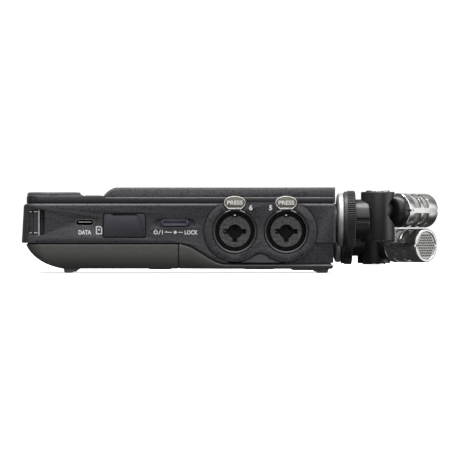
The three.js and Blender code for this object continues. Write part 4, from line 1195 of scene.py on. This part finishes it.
def mic_ring(unit):
    r, x0, x1 = 14.35, 56.9, 62.7
    bore = 10.3
    sides = 80 * 4  # eighty ribs, half ridge and half groove
    # Each entry is a radius, a place along x and how far the ribs stand out there.
    profile = [(bore, x0, 0), (r - 0.9, x0, 0), (r - 0.35, x0 + 0.3, 0), (r - 0.3, x0 + 1.6, 0),
               (r - 0.3, x0 + 1.75, 0), (r - 0.34, x0 + 1.9, 0.4), (r - 0.34, x1 - 0.45, 0.4),
               (r - 0.6, x1 - 0.1, 0.1), (r - 0.9, x1, 0), (bore, x1, 0)]
    rings = []
    for radius, x, rib in profile:
        ring = []
        for i in range(sides):
            lift = rib if i % 4 in (0, 1) else -rib * 0.5
            a = 2 * math.pi * i / sides
            ring.append((x, MIC_Y + (radius + lift) * math.cos(a), NECK_Z + (radius + lift) * math.sin(a)))
        rings.append(ring)
    made = loft(rings, closed=True)
    body = f"mic_ring_{unit}"
    piece(moved(made, unit_place(unit)), f"clamp_ring_{unit}", body, KNURL, body, smooth=25)


BALL_RADIUS = 7.0
PIN_HOLE = 3.15  # clears the hinge pin


def mic_arm(unit):
    neck_end = HINGE_X - 4.35
    centre = (MIC_Y, NECK_Z)
    neck = turned("x", [(POINT, 59.8), (9.7, 59.8), (10.1, 60.2), (10.1, neck_end - 0.5), (9.6, neck_end),
                        (POINT, neck_end)], centre, 96)
    for side in (-1, 1):
        wide = ordered(MIC_Y + side * 9.3, MIC_Y + side * 12)
        cut(neck, box((63.2, neck_end + 1), wide, (24.9, 27.4)))
    low, high = BARREL_LOW, BARREL_HIGH
    groove = [(8.5, low + 0.55), (8.3, low + 0.62), (8.3, low + 0.78), (8.5, low + 0.85)]
    barrel = turned("z", [(POINT, low), (8.2, low), (8.5, low + 0.3), *groove, (8.5, high - 0.35),
                          (8.2, high), (POINT, high)], (HINGE_X, MIC_Y), 96)
    join(neck, rod("x", 7.6, 54.2, 60, centre), barrel)
    cut(neck, ball(BALL_RADIUS + 0.35, (HINGE_X, MIC_Y, HEAD_Z)))
    cut(neck, rod("x", BALL_RADIUS + 0.4, HINGE_X, HINGE_X + 12, (MIC_Y, HEAD_Z), 96))
    cut(neck, rod("z", PIN_HOLE, 0, 60, (HINGE_X, MIC_Y), 48))
    soften(neck, 0.15, angle=40)
    piece(moved(neck, unit_place(unit)), f"mount_arm_{unit}", f"mic_unit_{unit}", SATIN, f"mic_arm_{unit}")


def hinge_pin(unit):
    low, high = span("hinge_pin_a")
    top = high.z
    profile = [(POINT, low.z), (3, low.z), (3, top - 0.6), (6.0, top - 0.6), (6.0, top - 0.2), (5.8, top),
               (4.6, top), (4.4, top - 0.12), (POINT, top - 0.12)]
    made = turned("z", profile, (HINGE_X, MIC_Y), 72)
    piece(moved(made, unit_place(unit)), f"hinge_cap_{unit}", f"mic_unit_{unit}", CAP, f"hinge_pin_{unit}")


def head_piece(made, unit, name, material, *nodes, smooth=35):
    """A part of the swinging head, drawn with the hinge at the origin and the capsule along +X."""
    moved(made, unit_place(unit) @ HEAD_PLACE)
    piece(made, f"{name}_{unit}", f"mic_head_{unit}", material, *nodes, smooth=smooth)


SLEEVE_START = 14.8
SLEEVE_END = 36.2
STRUT = 1.45  # half the width of the struts between the sleeve's windows
ROWS = [(19.2, 23.5), (25.7, 29.3)]


def head_base(unit):
    """A ball on the hinge pin, a narrow neck that swings in the barrel's slot, and a bell."""
    made = ball(BALL_RADIUS, (0, 0, 0))
    neck = loft([[(x, 1.9 * u, 2.9 * v) for u, v in circle(0, 0, 1, 32)] for x in (4.5, 9.6)])
    seam_low, seam_high = 9.2, SLEEVE_START - 0.6
    profile = [(POINT, 9.0), (4.6, 9.0), (5.6, 9.12), (6.5, 9.5), (7.2, 10.1), (7.8, 11.0), (8.2, 12.0),
               (8.38, 13.0), (8.38, SLEEVE_START - 0.35), (8.2, SLEEVE_START - 0.15),
               (7.7, SLEEVE_START - 0.15),
               (7.7, SLEEVE_START + 1.8), (POINT, SLEEVE_START + 1.8)]
    bell = turned("x", profile, (0, 0), 96)
    for side in (-1, 1):
        seam = box((seam_low, seam_high), ordered(side * 4, side * 12), (-0.12, 0.12))
        skin = [(max(r - 0.3, POINT), x) for r, x in profile[:-4]] + [(POINT, seam_high + 1)]
        cut(bell, cut(seam, turned("x", skin, (0, 0), 96)))
    join(made, neck, bell)
    cut(made, rod("z", PIN_HOLE, -12, 12, (0, 0), 48))
    soften(made, 0.12, angle=40)
    head_piece(made, unit, "head_base", SATIN, f"mic_base_{unit}")


def sleeve_windows():
    """The four windows of each row, with straight struts left between them."""
    tools = []
    for start, end in ROWS:
        for quarter in range(4):
            turn = math.radians(90 * quarter)
            outline = [(u * math.cos(turn) - v * math.sin(turn), u * math.sin(turn) + v * math.cos(turn))
                       for u, v in rect(STRUT, 12, STRUT, 12)]
            tools.append(prism("x", outline, start, end))
    return tools


def head_sleeve(unit):
    r, start, end = SLEEVE_RADIUS, SLEEVE_START, SLEEVE_END
    bore = r - 0.7
    profile = [(bore, start), (r - 0.35, start), (r, start + 0.3), (r, end - 0.6), (r - 0.12, end - 0.25),
               (r - 0.4, end), (7.1, end), (6.85, end - 0.4), (6.85, end - 1.3), (bore, end - 1.3)]
    tube = turned("x", profile, (0, 0), 128, closed=True)
    cut(tube, *sleeve_windows())
    notches = [box((end - 0.75, end + 1), ordered(side * 6, side * 9.5), (-0.65, 0.65)) for side in (-1, 1)]
    cut(tube, *notches)
    soften(tube, 0.12, angle=40)
    head_piece(tube, unit, "head_sleeve", SLEEVE, f"mic_sleeve_{unit}")
    ring = [(7.9, start - 0.1), (8.5, start - 0.1), (8.72, start + 0.12), (8.72, start + 0.5),
            (8.5, start + 0.75), (7.9, start + 0.75)]
    head_piece(turned("x", ring, (0, 0), 128, closed=True), unit, "head_ring", CHROME)
    for side in (-1, 1):
        pin = turned("y", [(POINT, side * 8.2), (0.5, side * 8.2), (0.5, side * 8.62), (0.35, side * 8.72),
                           (POINT, side * 8.72)], (start + 2.4, 0), 24)
        head_piece(pin, unit, f"head_pin_{1 if side < 0 else 2}", NICKEL)
        notch = side_prism(side, round_rect(start - 1.3, start + 0.9, -0.7, 0.7, 0.4), 8.0, 8.74)
        head_piece(notch, unit, f"head_key_{1 if side < 0 else 2}", DULL)


def head_liner(unit):
    start, end = SLEEVE_START + 2.1, SLEEVE_START + 15.5
    tube = turned("x", [(7.35, start), (7.65, start), (7.65, end), (7.35, end)], (0, 0), 128, closed=True)
    head_piece(tube, unit, "head_cloth", CLOTH, f"mic_liner_{unit}")


def head_grille(unit):
    end = SLEEVE_END
    face = end - 0.55
    plate = turned("x", [(POINT, face - 0.5), (6.75, face - 0.5), (6.75, face), (POINT, face)], (0, 0), 96)
    pitch, hole, reach = 1.48, 0.56, 6.1
    row_step = 0.866  # the height of a triangle of side one, which staggers the rows
    holes = []
    rows = int(reach / (pitch * row_step)) + 1
    for row in range(-rows, rows + 1):
        for column in range(-rows, rows + 1):
            u = (column + (row % 2) / 2) * pitch
            v = row * pitch * row_step
            if math.hypot(u, v) <= reach:
                holes.append(circle(u, v, hole, 12))
    points, faces = [], []
    for outline in holes:
        base = len(points)
        points += [(face - 2, u, v) for u, v in outline] + [(face + 2, u, v) for u, v in outline]
        count = len(outline)
        faces.append(tuple(range(base, base + count)))
        faces.append(tuple(range(base + count, base + 2 * count)))
        for i in range(count):
            j = (i + 1) % count
            faces.append((base + i, base + j, base + count + j, base + count + i))
    cut(plate, solid(points, faces))
    head_piece(plate, unit, "head_grille", GRILLE, f"mic_grille_{unit}", smooth=30)
    back = turned("x", [(POINT, face - 1.4), (6.6, face - 1.4), (6.6, face - 1.1), (POINT, face - 1.1)],
                  (0, 0), 48)
    head_piece(back, unit, "head_foam", DULL)


def head_capsule(unit):
    start = SLEEVE_START + 10
    profile = [(POINT, start), (5.5, start), (7.1, start + 2), (7.1, start + 8.4), (6.4, start + 8.4),
               (6.4, start + 8), (POINT, start + 8)]
    head_piece(turned("x", profile, (0, 0), 64), unit, "head_capsule", GOLD, f"mic_capsule_{unit}")


def microphones():
    for unit in ("a", "b"):
        for make in (mic_socket, mic_ring, mic_arm, hinge_pin, head_base, head_sleeve, head_liner,
                     head_grille, head_capsule):
            make(unit)


# ------------------------------------------------------------------ inner pieces kept from the frame

def inner_pieces():
    """The hidden CAD pieces keep their shape and get a fitting material."""
    looks = {"lcd_module": GLASS, "main_board": BOARD, "battery_tray": DULL, "battery_springs": BRIGHT,
             "speaker_driver": DULL, "card_socket": BRIGHT}
    looks.update({f"battery_cell_{i}": CELL for i in range(1, 5)})
    for node, material in looks.items():
        obj = frame["nodes"][node]
        obj.data.materials.clear()
        obj.data.materials.append(material)


# ------------------------------------------------------------------ stage

def softbox(name, place, aim, size, power):
    light = bpy.data.lights.new(name, "AREA")
    light.shape = "RECTANGLE"
    light.size, light.size_y = size
    light.energy = power
    obj = placed(name, light)
    obj.location = place
    obj.rotation_euler = (Vector(aim) - Vector(place)).to_track_quat("-Z", "Y").to_euler()


LOBES = [  # direction the light comes from, its strength, the angles at which it is full and gone
    ((0, -0.4, 0.92), 1.2, 20, 50),
    ((1, -0.15, 0.1), 1.6, 18, 38),
    ((-1, -0.35, 0.15), 0.5, 10, 30),
    ((0, -1, 0.55), 1.1, 12, 44),
    ((0, -0.73, -0.68), 0.45, 8, 24),
    ((0.2, 1, 0.5), 0.35, 15, 45),
]
BASE_LIGHT = 0.045


def studio_world():
    """White where the camera looks past the object, which is lit by a dim tent with broad soft panels."""
    world = bpy.data.worlds.new("studio")
    bpy.context.scene.world = world
    world.use_nodes = True
    nodes, links = world.node_tree.nodes, world.node_tree.links
    room, seen = nodes["Background"], nodes.new("ShaderNodeBackground")
    for background in (room, seen):
        background.inputs["Color"].default_value = (1, 1, 1, 1)
    seen.inputs["Strength"].default_value = 1.05
    place = nodes.new("ShaderNodeTexCoord").outputs["Generated"]
    total = None
    for direction, strength, full, gone in LOBES:
        toward = nodes.new("ShaderNodeVectorMath")
        toward.operation = "DOT_PRODUCT"
        toward.inputs[1].default_value = Vector(direction).normalized()
        links.new(place, toward.inputs[0])
        level = nodes.new("ShaderNodeMapRange")
        level.interpolation_type = "SMOOTHSTEP"
        level.inputs["From Min"].default_value = math.cos(math.radians(gone))
        level.inputs["From Max"].default_value = math.cos(math.radians(full))
        level.inputs["To Max"].default_value = strength
        links.new(toward.outputs["Value"], level.inputs["Value"])
        add = nodes.new("ShaderNodeMath")
        add.inputs[1].default_value = BASE_LIGHT
        links.new(level.outputs["Result"], add.inputs[0])
        if total:
            links.new(total, add.inputs[1])
        total = add.outputs["Value"]
    links.new(total, room.inputs["Strength"])
    path = nodes.new("ShaderNodeLightPath")
    mix = nodes.new("ShaderNodeMixShader")
    for i, source in enumerate((path.outputs["Is Camera Ray"], room.outputs[0], seen.outputs[0])):
        links.new(source, mix.inputs[i])
    links.new(mix.outputs[0], nodes["World Output"].inputs["Surface"])


def stage():
    scene = bpy.context.scene
    scene.view_settings.view_transform = "Standard"
    camera = bpy.data.cameras.new("camera")
    camera.lens = 246.3  # a long lens, so that the side view is close to level
    camera.sensor_width = 36
    camera.clip_end = 20
    viewer = placed("camera", camera)
    viewer.location = (0, -1.6, 0.0214)
    viewer.rotation_euler = (math.radians(90), 0, 0)
    scene.camera = viewer
    studio_world()
    softbox("top_light", (0.0, -0.1, 0.9), (0, 0, 0.02), (1.4, 0.25), 16)

    bpy.ops.mesh.primitive_plane_add(size=8, location=(0, 0, -0.0002))
    floor = bpy.context.object
    floor.name = "floor"
    floor.visible_diffuse = False
    floor.visible_glossy = False
    pale = Shader("floor_paper", (0.9, 0.9, 0.9), 0.9, specular=0.1)
    pale.surface.inputs["Emission Color"].default_value = (1, 1, 1, 1)
    pale.surface.inputs["Emission Strength"].default_value = 0.7
    pale.bump(pale.noise(3.0), 0.02)
    floor.data.materials.append(pale.material)


stage()
main_frame()
case_tongue()
top_panel()
battery_door()
battery_latch()
back_cover()
door_lip()
tripod_bush()
touch_glass()
transport_keys()
jog_wheel()
side_marks()
inputs()
usb_port()
card_cover()
power_slider()
strap_bar()
audio_jacks()
volume_rocker()
microphones()
inner_pieces()
